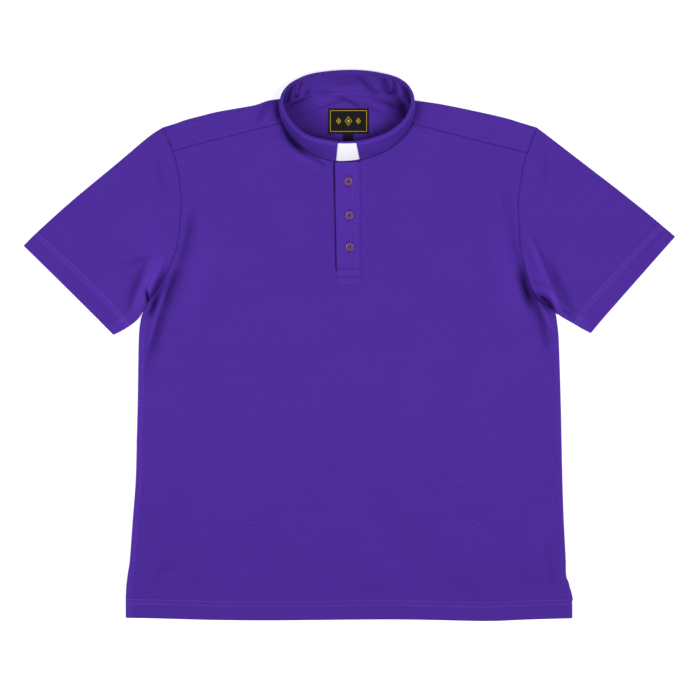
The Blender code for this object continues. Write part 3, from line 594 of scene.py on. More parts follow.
plan = back_grid()
side_lift = SIDE_PART * (1 - curl(nearer_gap(BODY_EDGE, plan)))
back = wall("back_panel", with_height(plan, back_height(plan) - side_lift), plan, body_knit, turn=-1)
back_stitches = sew("back_hem_stitches", twin_rows(back_height, BACK_HEM_SHIFT, -0.15), hem_thread,
                    pitch=3.2, radius=0.3)
dress(back, "back")

# Yoke
# One piece that spans the shoulders: flat on the table under the neck, folded over each shoulder,
# and joined to the front below the fold. Its edge is stitched down close to the front seam.
MIDDLE_HEIGHT = 4.0
EDGE_RISE = 1.5
EDGE_RISE_WIDTH = 25.0
NECK_RISE = 1.4
NECK_RISE_WIDTH = 30.0
LEAST_HEIGHT = 2.85
SHOULDER_FOLDS = {
    -1: [(-264.9, 308.5), (-246.4, 314.2), (-231.1, 319.6), (-209.4, 325.2), (-187.7, 330.6),
         (-155, 336.4), (-133.3, 340.4), (-116, 346.4), (-99.6, 349)],
    1: [(265.8, 308.5), (241.9, 315.7), (219.3, 322.5), (174, 332.7), (128.7, 341.8), (93.4, 346.8)],
}
YOKE_SEAMS = {
    -1: [(-250.7, 275), (-209.4, 286.8), (-176.7, 294.9), (-144.2, 303), (-120, 309),
         (-95.9, 314.6)],
    1: [(252.9, 272.5), (219.3, 281), (196.6, 286.3), (162.7, 295), (128.7, 303.8), (90.6, 314)],
}
SLEEVES = {
    -1: {
        "fold": [(-264.9, 308.5), (-285.5, 294.7), (-329, 258), (-392.9, 204.9), (-440, 162.6),
                 (-462, 141)],
        "cuff": [(-462, 141), (-423.7, 103.2), (-370.7, 50.7), (-334.3, 14.3)],
        "underarm": [(-293, 47.2), (-295.8, 42.5), (-300.4, 36), (-309.5, 28.4), (-322, 20.4),
                     (-334.3, 14.3)],
    },
    1: {
        "fold": [(265.8, 308.5), (287.2, 292.3), (332.5, 257.4), (377.8, 222.6), (423.1, 186.6),
                 (443.4, 169.6), (462, 153.8)],
        "cuff": [(462, 153.8), (423.1, 109.6), (366.4, 45.2), (350, 26.2), (342.2, 16.6)],
        "underarm": [(292.7, 47.2), (297.6, 42.2), (305, 37.4), (319.3, 29.3), (330, 23),
                     (342.2, 16.6)],
    },
}
COLLAR_RING = [  # foot across and height, share of the top layer's height, lean of the rim in plan
    (-2.5, 259.6, 1, 0, 23.6), (-21.5, 260, 1, 0.3, 24), (-44, 266, 1, 0.5, 21.2),
    (-62, 276.5, 1, -1, 16.5), (-76, 289.4, 1, -1.5, 14.5), (-88, 302.4, 1, 0, 14.5),
    (-95.4, 315.2, 1, 1, 15), (-98.7, 325, 1, 1.5, 16.5), (-98.4, 333, 0.8, 3.2, 19.5),
    (-95, 340, 0.4, 4.5, 21), (-87, 345, 0.1, 4, 24.2), (-74, 350, 0, 4, 27),
    (-57.5, 355.3, 0, 3.5, 27.4), (-31, 355.8, 0, 1.5, 31), (-1, 355.5, 0, 0, 33.3),
    (28, 356.3, 0, -1.5, 31), (54, 356.8, 0, -3.5, 25.8), (69.5, 353.5, 0, -2.7, 24.2),
    (80, 346.5, 0.1, -1.3, 24), (88, 339.5, 0.4, -2.7, 23.2), (92.2, 332, 0.8, -2.6, 21.2),
    (92.8, 323.5, 1, -2.4, 18.4), (89.4, 313.3, 1, -1.3, 17.5), (82, 299.8, 1, -0.5, 17.5),
    (70, 287.4, 1, 0, 18), (54, 276, 1, 0, 19), (34, 267.5, 1, 0, 20.5),
    (15.4, 262, 1, 0, 22.2),
]
PLACKET_LOW = 88.0
PLACKET_HIGH = 259.0
FOLDS = [  # of the whole top layer
    (-209, 225, -232, 150, -252, 84, 13, 13, -1.3),
    (-252, 92, -263, 52, -279, 10, 11, 11, -1.2),
    (-274, 288, -272, 245, -258, 196, 10, 10, -0.7),
    (-96, 282, -63, 265, -33, 245, 7, 7, 1.2),
    (-140, 330, -148, 322, -156, 312, 7, 7, -0.8),
    (216, 248, 226, 170, 246, 92, 12, 12, -1.3),
    (243, 98, 258, 62, 285, 10, 10, 10, -1.3),
    (276, 294, 283, 258, 273, 206, 10, 10, -0.7),
    (80, 284, 92, 279, 106, 272, 6, 6, 1),
    (98, 304, 108, 297, 121, 288, 6, 6, 0.9),
]
YOKE_FOLDS = [
    (-98, 356, -109, 334, -126, 306, 4.5, 4.5, 2.2),
    (-110, 352, -119, 332, -134, 310, 5, 8, -1.3),
    (-98, 344, -101, 328, -104, 306, 4, 5, -1.8),
    (-126, 350, -142, 333, -166, 320, 5, 5, 1.1),
    (-136, 345, -152, 332, -170, 322, 5, 7, -0.6),
    (-194, 334, -208, 320, -228, 308, 6, 6, 0.8),
    (101, 343, 109, 341, 119, 335, 5, 5, 0.8),
    (206, 322, 200, 310, 202, 296, 7, 7, -0.5),
]
SHADES = [  # painted shade and painted highlight beside the folds, in the folds' form, as amounts of painted shading
    (-102, 340, -94, 285, -48, 266, 6, 8, 1.15),
    (-101, 356, -102, 336, -98, 312, 4, 9, 0.7),
    (-114, 352, -122, 332, -134, 312, 4, 6, 0.3),
    (-58, 270, -42, 259, -25, 251, 3, 5, 0.4),
    (92, 348, 98, 330, 95, 306, 7, 4, 0.35),
]
FRONT_SHADES = [  # the same, on the front alone
    (238, 130, 248, 86, 262, 42, 10, 8, 0.4),
    (234, 116, 243, 80, 260, 34, 7, 8, 0.4),
    (256, 84, 270, 46, 286, -2, 12, 4, 0.2),
    (264, 60, 280, 40, 293, 12, 4, 4, -0.25),
    (256, 78, 272, 58, 296, 42, 3, 7, 0.35),
    (-252, 118, -266, 80, -284, 46, 9, 9, 0.35),
    (-270, 72, -279, 52, -286, 36, 8, 5, 0.65),
    (-259, 80, -270, 50, -286, 3, 4, 4, -0.2),
    (-240, 118, -256, 82, -264, 50, 14, 4, 0.3),
    (-258, 76, -272, 32, -290, -34, 18, 4, 0.3),
]
SLEEVE_SHADES = [  # the same, on the sleeves alone
    (258, 72, 288, 71, 294, 38, 2, 9, 0.9),
    (260, 68, 280, 62, 295, 40, 5, 5, 0.45),
    (266, 82, 290, 78, 298, 44, 4, 4, -0.3),
    (254, 108, 272, 92, 282, 70, 8, 6, -0.2),
    (276, 130, 299, 84, 324, 30, 12, 6, 0.2),
    (252, 90, 260, 74, 268, 64, 4, 4, 0.7),
    (-286, 118, -299, 84, -318, 34, 6, 10, 0.4),
    (-264, 112, -283, 84, -302, 46, 3, 3.5, -0.35),
    (-258, 142, -285, 92, -322, 22, 14, 14, -0.12),
    (-254, 118, -275, 80, -290, 48, 8, 7, 0.35),
    (-288, 84, -287, 66, -283, 50, 2.4, 2.4, 1.6),
    (-342, 16, -326, 32, -306, 44, 10, 12, -0.25),
    (346, 20, 334, 32, 314, 44, 12, 10, -0.25),
]
INSIDE_SWELL = (-120, 340, 0, 366, 120, 340, 26, 34, 1.5)
INSIDE_FOLDS = [  # of the yoke where it shows through the neck
    (-32, 355, 8, 352, 24, 328, 2.6, 6, -2.4),
    (-2, 346, 34, 341, 62, 318, 5, 4, -1.3),
    (6, 353, 34, 347, 54, 326, 4, 4, 1),
    (24, 355, 48, 347, 78, 332, 6, 6, -1.5),
    (-2, 350, -24, 345, -54, 332, 5, 4, -1.2),
    (-6, 355, -34, 351, -60, 341, 4, 4, 0.8),
    (-96, 334, -76, 346, -44, 358, 5, 4, -1.6),
    (66, 352, 82, 338, 84, 304, 6, 12, -2),
    (-84, 316, -64, 328, -40, 320, 9, 10, 0.7),
    (52, 334, 66, 326, 74, 308, 8, 9, 0.6),
]
LEAST_INSIDE = -0.9
YOKE_STITCH = 1.9
SEAM_ALLOWANCE = 8.5

SHOULDER = {side: smooth_path(SHOULDER_FOLDS[side]) for side in (-1, 1)}
YOKE_SEAM = {side: smooth_path(YOKE_SEAMS[side]) for side in (-1, 1)}
RING = smooth_path(COLLAR_RING, step=1.0, closed=True)
RING_BACK = RING[(RING[:, 2] < 0.6) & (RING[:, 1] > 345)][:, :2]
FOLDED_OUTLINE = [BODY_EDGE[-1], BODY_EDGE[1], SHOULDER[-1], SHOULDER[1]]
for sleeve in SLEEVES.values():
    FOLDED_OUTLINE += [smooth_path(sleeve["fold"]), smooth_path(sleeve["underarm"])]


def outline_inset(xy):
    """Distance in plan from each point to the folded outline."""
    return np.min([gap_to(path, xy) for path in FOLDED_OUTLINE], axis=0)


def top_height(xy, inset=None):
    """Height of the upper side of the top layer, before what each piece adds to it."""
    if inset is None:
        inset = outline_inset(xy)
    neck_gap = gap_to(np.vstack([RING[:, :2], RING[:1, :2]]), xy)
    placket_side = np.abs(xy[..., 0] + 1) - 20
    placket_gap = np.maximum(np.maximum(placket_side, PLACKET_LOW - 12 - xy[..., 1]), 0)
    rise = np.maximum(EDGE_RISE * bump(inset, EDGE_RISE_WIDTH), NECK_RISE * bump(neck_gap, NECK_RISE_WIDTH))
    rise = np.maximum(rise, NECK_RISE * bump(placket_gap, 18.0))
    sway = 0.22 * np.sin(xy[..., 0] / 31 + 1.3 * np.sin(xy[..., 1] / 57)) * np.sin(xy[..., 1] / 43 + 0.7)
    height = MIDDLE_HEIGHT + rise + (fold_sum(FOLDS, xy) + sway) * ease(inset / (3 * EDGE_CURL))
    height = np.maximum(height, LEAST_HEIGHT)
    return EDGE_SEAM_HEIGHT + (height - EDGE_SEAM_HEIGHT) * curl(inset)


def bottom_height(inset):
    """Height of the under side of the bottom layer, flat on the table but for its curled edge."""
    return EDGE_SEAM_HEIGHT * (1 - curl(inset))


def arm_relief(gap):
    """Relief beside an armhole: sunk at its seam, raised over the allowance, pulled in at the stitches."""
    return (0.4 * (1 - ease((gap - SEAM_ALLOWANCE) / 2.5)) - 1.1 * bump(gap, 1.1)
            - 0.35 * bump(gap - SEAM_STITCH, 0.9))


def neck_edge():
    """Edge that the panels are cut to at the neck, just outside the collar's foot."""
    ring = RING[:, :2]
    run = np.roll(ring, -1, axis=0) - np.roll(ring, 1, axis=0)
    return ring + (SEAM_GAP + 0.1) * unit(pairs(-run[:, 1], run[:, 0]))


NECK = neck_edge()
NECK_FRONT = NECK[NECK[:, 1] < 330]
NECK_SIDE = {side: NECK[(NECK[:, 0] * side > 60) & (NECK[:, 1] > 300) & (NECK[:, 1] < 346)]
             for side in (-1, 1)}
SHOULDER_LEVEL = ARMHOLES[-1][0]
NECK_OVER_ARM = 38.5
NECK_SIDE_LEVELS = (314.9, 345.0)


def yoke_strip(side, under_parts, upper_parts):
    """Plan points of the yoke from one armhole to the neck: up the bottom layer, then down the top."""
    low = BACK_YOKE_SEAM + SEAM_GAP
    flat_top = SHOULDER_LEVEL - EDGE_CURL
    seam_level = YOKE_SEAMS[side][0][1]
    parts = spread([0.0, 0.004, 0.012, 0.022, 0.036, 0.043, 0.06, 1.0], 0.026)
    rows = [("under", low + part * (flat_top - low), part) for part in under_parts]
    curls = CURL_STEPS[::-1] + [0.0] + CURL_STEPS
    rows += [("fold", SHOULDER_LEVEL - value, value) for value in curls]
    rows += [("upper", flat_top - part * (flat_top - seam_level), part) for part in upper_parts]
    lines = []
    for layer, arm_level, value in rows:
        arm = body_edge(side, arm_level) - side * (SEAM_GAP if layer == "fold" else 0)
        neck_level = arm_level + (0 if layer == "under" else NECK_OVER_ARM)
        neck = edge_at(NECK_SIDE[side], np.clip(neck_level, *NECK_SIDE_LEVELS)) + side * SEAM_GAP
        x = arm + parts * (neck - arm)
        fold = height_at(SHOULDER[side], x)
        if layer == "fold":
            y = fold - value
        elif layer == "under":
            y = low + value * (fold - EDGE_CURL - low)
        else:
            y = fold - EDGE_CURL + value * (height_at(YOKE_SEAM[side], x) - 0.2 - fold + EDGE_CURL)
        lines.append(pairs(x, y))
    return np.array(lines).transpose(1, 0, 2)


def yoke_height(xy):
    """Height of the upper side of the yoke over the shoulders."""
    arm = nearer_gap(ARMHOLE, xy)
    seam = nearer_gap(YOKE_SEAM, xy)
    inset = outline_inset(xy)
    form = fold_sum(YOKE_FOLDS, xy) * ease(arm / 4) + arm_relief(arm)
    form = form + 0.25 * (1 - ease((seam - 6) / 2.5)) - 0.8 * bump(seam, 1.0)
    form = form - 0.2 * bump(seam - YOKE_STITCH, 0.7)
    return top_height(xy, inset) + form * ease((inset - 1) / 6)


def yoke_painted_shading(xy):
    """Painted shading of the yoke over the shoulders: painted shade in folds, darker at its seams, painted
    highlight on its edge.
    """
    seams = 0.5 * bump(nearer_gap(YOKE_SEAM, xy), 0.8) + 0.5 * bump(nearer_gap(ARMHOLE, xy), 0.7)
    painted_fold_shading = fold_painted_shading(fold_sum(YOKE_FOLDS, xy)) + fold_sum(SHADES, xy)
    return painted_fold_shading + seams - 0.45 * bump(outline_inset(xy), 1.6)


def inside_painted_shading(xy):
    """Painted shading of the yoke inside the neck: painted shade in its folds, and painted shadow of the
    collar's walls beside their foot.
    """
    shade = fold_painted_shading(2.0 * fold_sum(INSIDE_FOLDS, xy))
    # painted shadow of the collar's side walls on the yoke inside the neck, fading away from them
    for side, near, far, depth in ((-1, 16.0, 34.0, 0.35), (1, 18.0, 42.0, 0.5)):
        gap = gap_to(RING[(RING[:, 0] * side > 0) & (RING[:, 1] < 345), :2], xy)
        shade = shade + depth * (1 - ease((gap - near) / (far - near))) * ease((side * xy[..., 0] - 5) / 30)
    return shade


def make_yoke():
    """Yoke: flat under the neck, wrapped over each shoulder to the front seams."""
    under_parts = spread([0.0, 1.0], 0.018)
    upper_parts = np.concatenate([spread([0.08, 0.72], 0.08),
                                  [0.78, 0.84, 0.88, 0.905, 0.93, 0.955, 0.975, 0.99, 1.0]])
    left = yoke_strip(-1, under_parts, upper_parts)
    right = yoke_strip(1, under_parts, upper_parts)[::-1]
    under_rows = len(under_parts)
    fold_row = under_rows + len(CURL_STEPS)
    inner_x = spread([-91.0, -78.0, -58.0, -30.0, 0.0, 28.0, 55.0, 73.0, 85.5], 2.5)
    top = height_at(RING_BACK, inner_x) + 0.8
    low = BACK_YOKE_SEAM + SEAM_GAP
    middle = np.empty((len(inner_x), left.shape[1], 2))
    middle[..., 0] = inner_x[:, None]
    for j in range(left.shape[1]):
        part = under_parts[min(j, under_rows - 1)]
        middle[:, j, 1] = low + part * (top - low) + max(0, j - under_rows + 1)
    plan = np.vstack([left, middle, right])
    upper = np.arange(plan.shape[1]) > fold_row
    inside = np.maximum(fold_sum([INSIDE_SWELL] + INSIDE_FOLDS, plan), LEAST_INSIDE)
    inside = inside + 0.3 * bump(plan[..., 1] - low, 1.2)
    height = np.where(upper, yoke_height(plan), bottom_height(outline_inset(plan)) + inside)
    shade = np.where(upper, yoke_painted_shading(plan), inside_painted_shading(plan))
    keep = np.ones(plan.shape[:2], bool)
    keep[len(left) - 1:len(left) + len(inner_x), under_rows - 1:] = False
    outer = with_height(plan, height)
    # Points that no cell uses, set level beside the strips' ends so that the normals there come out even
    for edge, inward in ((len(left) - 1, 1), (len(left) + len(inner_x), -1)):
        outer[edge + inward, under_rows:] = outer[edge, under_rows:] + (inward * 4.0, 0, 0)
    return wall("yoke_panel", outer, plan, body_knit, keep=keep, turn=-1, knit_tone_and_painted_shading=shade)


def line_beside(path, offset, low=0.0, high=1.0, step=4.0):
    """Points along a path moved sideways, to its left where the offset is over zero."""
    total = path_lengths(path)[-1]
    wanted = spread([low * total, high * total], step)
    points = along(path, wanted)
    ahead = unit(along(path, wanted + 1.0) - along(path, wanted - 1.0))
    return points + offset * pairs(-ahead[:, 1], ahead[:, 0])


yoke = make_yoke()
rows = []
for side in (-1, 1):
    arm_seam = ARMHOLE[side][ARMHOLE[side][:, 1] > YOKE_SEAMS[side][0][1]]
    for beside in (line_beside(YOKE_SEAM[side], -side * YOKE_STITCH, low=0.03, high=0.99),
                   line_beside(arm_seam, side * SEAM_STITCH, low=0.06, high=0.86)):
        rows.append(with_height(beside, yoke_height(beside) - 0.02))
yoke_stitches = sew("yoke_stitches", rows, seam_thread, radius=0.28)
dress(yoke, "yoke")

# Front panel
# One piece of the same knit, cut out for the neck and for the placket, its hem turned up like the
# back's. The seam allowances inside show as low strips along the side seams and the armholes.
PLACKET_TOP_EDGES = (-21.5, 15.4)
PLACKET_FOOT_EDGES = (-18.0, 16.8)
LEAST_TOP = 1.8
EDGE_LINES = [0.0] + CURL_STEPS + [4.6, 5.6, 6.1, 6.5, 6.9, 7.6, 8.6, 9.4, 10.4, 12.0, 14.0, 16.5, 19.0,
                                   21.5, 24.0, 27.0, 30.0, 34.0, 39.0, 45.0]
FRONT_TOP_LINES = [16.0, 12.0, 9.0, 6.5, 4.5, 3.0, 1.8, 1.0, 0.4, 0.0]
FRONT_SEAM_POINTS = {
    -1: [-206.0, -176.0, -147.0, -120.0, -95.9, -88.0, -76.0, -62.0, -46.0, -32.0, -26.0, -24.0],
    1: [208.0, 176.0, 147.0, 118.0, 90.6, 82.0, 70.0, 56.0, 40.0, 27.0, 20.0, 18.0],
}
BODY_FOLDS = [
    (-204, 200, -200, 100, -258, 0, 34, 24, 2.2),
    (-222, 206, -229, 130, -256, 76, -16, 5, -2.4),
    (-240, 118, -258, 84, -264, 44, -24, 5, -4.2),
    (-258, 78, -273, 34, -293, -60, -20, 5, -2.6),
    (-256, 92, -268, 60, -286, -14, 5, 7, 2.6),
    (-262, 96, -279, 62, -288, 30, 7, 6, -3),
    (210, 196, 214, 104, 250, 8, 24, 32, 2.2),
    (226, 168, 238, 130, 243, 104, 5, 5, -1.2),
    (240, 124, 245, 84, 264, 42, 13, -9, -5.4),
    (256, 84, 271, 42, 288, -30, 5, -14, -3.4),
    (262, 72, 281, 42, 296, 2, 5, 6, 2.4),
    (258, 76, 274, 60, 296, 40, 5, 6, -3.4),
    (-112, 316, -84, 280, -30, 262, 7, 8, -2.6),
    (-98, 284, -64, 267, -33, 243, 5, 6, 1.2),
    (-102, 270, -70, 258, -44, 236, 6, 10, -0.6),
    (74, 286.5, 90, 281, 106, 272, 4, 5, 1.1),
    (97, 304, 109, 297, 122, 287, 4, 5, 1.1),
    (-232, -292, -260, -319, -290, -338, 9, 16, -0.9),
    (146, -338, 171, -348, 196, -357, 7, 7, -0.5),
    (230, -311, 246, -322, 262, -334, 8, 7, -0.6),
    (279, -262, 283, -312, 291, -362, 9, 7, -0.8),
    (248, -214, 242, -246, 246, -278, 12, 12, -0.4),
    (-120, 60, -60, 48, 30, 52, 30, 24, 0.35),
    (-180, -60, -90, -96, 60, -90, 40, 32, 0.35),
    (40, -190, 120, -200, 200, -170, 30, 36, -0.3),
]


def placket_edge(side, height):
    """Left or right edge of the placket at a height."""
    column = 0 if side < 0 else 1
    part = np.clip((height - PLACKET_LOW) / (PLACKET_HIGH - PLACKET_LOW), 0, 1)
    foot = PLACKET_FOOT_EDGES[column]
    return foot + part * (PLACKET_TOP_EDGES[column] - foot)


def placket_gap(side, xy):
    """Distance from each point to an edge of the placket, and down from the foot of it."""
    across = np.abs(xy[..., 0] - placket_edge(side, xy[..., 1]))
    return np.maximum(across, PLACKET_LOW - xy[..., 1])


def front_top(x):
    """Upper edge of the front: the yoke seam at the sides and the neck between them."""
    on_left = x < YOKE_SEAMS[-1][-1][0] + 0.01
    on_right = x > YOKE_SEAMS[1][-1][0] - 0.01
    not_left = np.where(on_right, height_at(YOKE_SEAM[1], x), height_at(NECK_FRONT, x))
    return np.where(on_left, height_at(YOKE_SEAM[-1], x), not_left)


def slit_part(height):
    """How open the slit is at a height: shut below the upper row of the stitched box."""
    return ease((height - 100) / 12)


def front_height(xy):
    """Height of the front with its seams, hem and folds."""
    inset = outline_inset(xy)
    arm = nearer_gap(ARMHOLE, xy)
    side = nearer_gap(BODY_EDGE, xy)
    seam = nearer_gap(YOKE_SEAM, xy)
    form = fold_sum(BODY_FOLDS, xy) * ease(arm / 4) * ease(seam / 4)
    above = ease((xy[..., 1] - UNDERARM + 8) / 12)
    form = form + arm_relief(arm) * above * ease((inset - 1) / 5)
    form = form - 0.8 * bump(seam, 1.0)
    strip = 0.35 * (1 - ease((side - SEAM_ALLOWANCE) / 2)) - 0.35 * bump(side - SEAM_ALLOWANCE - 1.1, 1.3)
    form = form + strip * ease((UNDERARM - xy[..., 1]) / 25)
    ripple = 0.12 * np.sin(xy[..., 0] / 3.7 + 2.0 * np.sin(xy[..., 0] / 41))
    up = hem_distance(xy)
    form = form + hem_form(up, HEM_ROWS) + ripple * bump(up - 23, 5.0)
    form = form - (0.5 + 1.2 * slit_part(xy[..., 1])) * bump(placket_gap(-1, xy), 1.3)
    form = form - 0.45 * bump(placket_gap(1, xy), 1.0)
    height = top_height(xy, inset) + form * ease(inset / 5)
    return np.maximum(height, np.where(inset > 6, LEAST_TOP, 0.0))


def slit_painted_shade(height):
    """Painted shade in the slit: deepest where it gapes most near the collar, none where it closes at the
    box.
    """
    return (0.75 + 0.5 * ease((height - 205) / 25)) * slit_part(height)


def between(up, rows):
    """1 between two rows of a hem and 0 away from them, at a distance up from its edge."""
    return ease((up - rows[0]) / 2) * (1 - ease((up - rows[1]) / 2))


def front_painted_shading(xy):
    """Painted shading of the front: painted shade in folds and in the slit, darker at its seams, painted
    highlight on the seam allowance strips and its edges, and paler between the hem's rows.

    It also has painted shade, a little deeper from the middle down to the hem, where the light falls off.
    """
    side = nearer_gap(BODY_EDGE, xy)
    up = hem_distance(xy)
    strip = np.where(xy[..., 0] < 0, 0.2, 0.08) * (1 - ease((side - SEAM_ALLOWANCE + 1) / 2))
    painted_highlight_and_hem_band = (strip + 0.4 * bump(side, 1.4)) * ease((UNDERARM - xy[..., 1]) / 25)
    painted_highlight_and_hem_band = painted_highlight_and_hem_band + 0.07 * between(up, HEM_ROWS)
    painted_shade_and_seams = slit_painted_shade(xy[..., 1]) * bump(placket_gap(-1, xy), 1.1) + 0.12 * ease((-20 - xy[..., 1]) / 350)
    painted_shade_and_seams = painted_shade_and_seams + 0.5 * bump(nearer_gap(YOKE_SEAM, xy), 0.8) + 0.5 * bump(nearer_gap(ARMHOLE, xy), 0.7)
    painted_fold_shading = fold_painted_shading(fold_sum(BODY_FOLDS + FOLDS, xy)) + fold_sum(SHADES + FRONT_SHADES, xy)
    return painted_fold_shading - painted_highlight_and_hem_band + painted_shade_and_seams


def front_grid():
    """Points of the front in plan, from left to right and from the hem up, and its left columns."""
    seam_top = {side: YOKE_SEAMS[side][0][1] for side in (-1, 1)}
    levels = np.concatenate([spread(PANEL_LEVELS[:4], 6.0)[:-1], spread(PANEL_LEVELS[3:5], 2.8)[:-1],
                             spread(PANEL_LEVELS[4:], 4.5)])
    low_cut = np.abs(levels - PLACKET_LOW).argmin()
    levels[low_cut] = PLACKET_LOW
    rows = [("hem", distance) for distance in HEM_LINES]
    rows += [("level", level) for level in levels] + [("top", distance) for distance in FRONT_TOP_LINES]
    near = np.array(EDGE_LINES)
    columns = []
    for side in (-1, 1):
        seam_points = spread(FRONT_SEAM_POINTS[side], 5.0)
        top_edge = body_edge(side, seam_top[side]) - side * EDGE_LINES[-1]
        top_window = PLACKET_TOP_EDGES[0 if side < 0 else 1] + side * SEAM_SHIFT
        parts = (seam_points - top_edge) / (top_window - top_edge)
        parts = parts[parts > 0.01]
        lines = []
        for kind, value in rows:
            level = {"hem": HEM_FOOT + value, "level": value, "top": seam_top[side] - value}[kind]
            window = placket_edge(side, level) + side * SEAM_SHIFT
            beside = body_edge(side, level) - side * near
            lines.append(np.concatenate([beside, beside[-1] + parts * (window - beside[-1]), [window]]))
        columns.append(np.array(lines).T)
    left, right = columns[0], columns[1][::-1]
    middle = np.array([left[-1] + part * (right[0] - left[-1]) for part in np.arange(1, 8) / 8])
    across = np.vstack([left, middle, right])
    hem = height_at(HEM_EDGE, across)
    top = front_top(across)
    window_columns = slice(len(left) - 1, len(left) + len(middle) + 1)
    top[window_columns] = front_top(np.array(PLACKET_TOP_EDGES)).mean()
    height = np.empty_like(across)
    for j, (kind, value) in enumerate(rows):
        x = across[:, j]
        if kind == "hem":
            height[:, j] = hem[:, j] + value
        elif kind == "top":
            height[:, j] = top[:, j] - value
        else:
            ends = [(value - hem[k, j]) / (top[k, j] - FRONT_TOP_LINES[0] - hem[k, j]) for k in (0, -1)]
            blend = (x - x[0]) / (x[-1] - x[0])
            part = ends[0] + blend * (ends[1] - ends[0])
            height[:, j] = hem[:, j] + part * (top[:, j] - FRONT_TOP_LINES[0] - hem[:, j])
    plan = pairs(across, height)
    turn_to_seam(plan, near)
    return plan, len(left), len(middle)


def turn_to_seam(plan, near):
    """Turn the lines of points that start at the armholes square to the seam, out of the level."""
    reach = near * (1 - ease((near - 10) / 32))
    for side, columns in ((-1, slice(0, len(near))), (1, slice(-1, -len(near) - 1, -1))):
        level = plan[0 if side < 0 else -1, :, 1]
        seam_level = np.maximum(level, UNDERARM + 8)
        slope = (edge_at(ARMHOLE[side], seam_level + 6) - edge_at(ARMHOLE[side], seam_level - 6)) / 12
        slope = slope * ease((level - UNDERARM + 34) / 60) * ease((YOKE_SEAMS[side][0][1] - 14 - level) / 40)
        size = np.sqrt(1 + slope ** 2)
        plan[columns, :, 0] += side * reach[:, None] * (1 - 1 / size)
        plan[columns, :, 1] += side * reach[:, None] * slope / size


plan, left_count, middle_count = front_grid()
keep = np.ones(plan.shape[:2], bool)
window_row = int(np.argmin(np.abs(plan[left_count, :, 1] - PLACKET_LOW)))
window_foot = plan[left_count, window_row, 1]
keep[left_count - 1:left_count + middle_count, window_row:] = False
side_lift = SIDE_PART * (1 - curl(outline_inset(plan)))
front = wall("front_panel", with_height(plan, front_height(plan) + side_lift), plan, body_knit, keep=keep,
             knit_tone_and_painted_shading=front_painted_shading(plan))
front_hem_stitches = sew("front_hem_stitches", twin_rows(front_height, 0.0, 0.04), hem_thread,
                         pitch=3.2, radius=0.3)
rows = []
for side in (-1, 1):
    seam = ARMHOLE[side][ARMHOLE[side][:, 1] < YOKE_SEAMS[side][0][1]]
    beside = line_beside(seam, side * SEAM_STITCH, low=0.36, high=1.0)
    rows.append(with_height(beside, front_height(beside) - 0.02))
front_stitches = sew("front_seam_stitches", rows, seam_thread, radius=0.28)
dress(front, "front")

# Sleeves
# Each is one piece of knit, sewn into a tube and pressed flat, with a twin-needle hem at the cuff.
# Under the arm it bunches into a soft ridge that runs from the armhole seam down to the edge.
SLEEVE_HEM_ROWS = (21.0, 26.4)
SLEEVE_HEM_LINES = [31.0, 28.0, 27.0, 26.4, 25.8, 25.0, 23.7, 22.4, 21.6, 21.0, 20.4, 19.6, 16.0, 10.0,
                    5.0, 2.0, 1.0, 0.4, 0.0]
SLEEVE_FOLDS = [
    (-300, 206, -276, 150, -258, 90, 14, 32, 1.8),
    (-266, 150, -291, 95, -319, 24, 15, 16, 5),
    (-252, 140, -270, 104, -292, 72, 7, 14, 4),
    (-292, 122, -308, 84, -322, 34, 7, 10, -1.8),
    (-254, 118, -275, 80, -291, 46, 5.5, 6, -3.8),
    (-288, 84, -287, 66, -283, 50, 2.6, 2.6, -6),
    (-330, 112, -302, 120, -272, 130, 9, 8, -1.6),
    (-276, 288, -272, 248, -258, 200, 6, 4, -0.4),
    (-290, 262, -300, 230, -296, 196, 9, 12, -0.4),
    (246, 182, 270, 110, 318, 12, 9, 17, 7.5),
    (270, 148, 294, 88, 322, 30, 12, 5, -1.8),
    (258, 76, 287, 74, 292, 40, 2.5, 8, -4),
    (257, 93, 270, 90, 284, 79, 3.5, 4, -2),
    (292, 62, 306, 46, 320, 43, 4, 4, -1),
    (277, 294, 283, 260, 272, 208, 4, 6, -0.4),
    (296, 270, 304, 236, 298, 202, 11, 9, -0.4),
    (-396, 120, -372, 140, -350, 172, 12, 14, -0.4),
    (392, 128, 370, 146, 346, 180, 12, 14, -0.4),
]


def sleeve_height(xy, side, up):
    """Height of a sleeve's upper side, from its plan and its distance up from the cuff."""
    inset = outline_inset(xy)
    arm = gap_to(ARMHOLE[side], xy)
    underarm = gap_to(smooth_path(SLEEVES[side]["underarm"]), xy)
    form = fold_sum(SLEEVE_FOLDS, xy) * ease((arm - 0.2) / 3.0)
    form = form - 1.0 * bump(arm, 1.1) + 0.25 * bump(arm - 4, 3.0)
    form = form + 0.3 * (1 - ease((underarm - 8) / 2)) - 0.25 * bump(underarm - 9, 1.2)
    form = form + hem_form(up, SLEEVE_HEM_ROWS)
    return np.maximum(top_height(xy, inset) + form * ease((inset - 0.8) / 5), LEAST_TOP)


def sleeve_painted_shading(xy, up):
    """Painted shading of a sleeve: painted shade in folds, darker at its seam, paler between its rows, and
    painted highlight on its edges.
    """
    edge = np.maximum(bump(outline_inset(xy), 1.6), bump(up, 1.2))
    painted_fold_shading = fold_painted_shading(fold_sum(SLEEVE_FOLDS + FOLDS, xy)) + fold_sum(SLEEVE_SHADES, xy)
    seam = 0.5 * bump(nearer_gap(ARMHOLE, xy), 0.7)
    return painted_fold_shading - 0.16 * between(up, SLEEVE_HEM_ROWS) - 0.4 * edge + seam


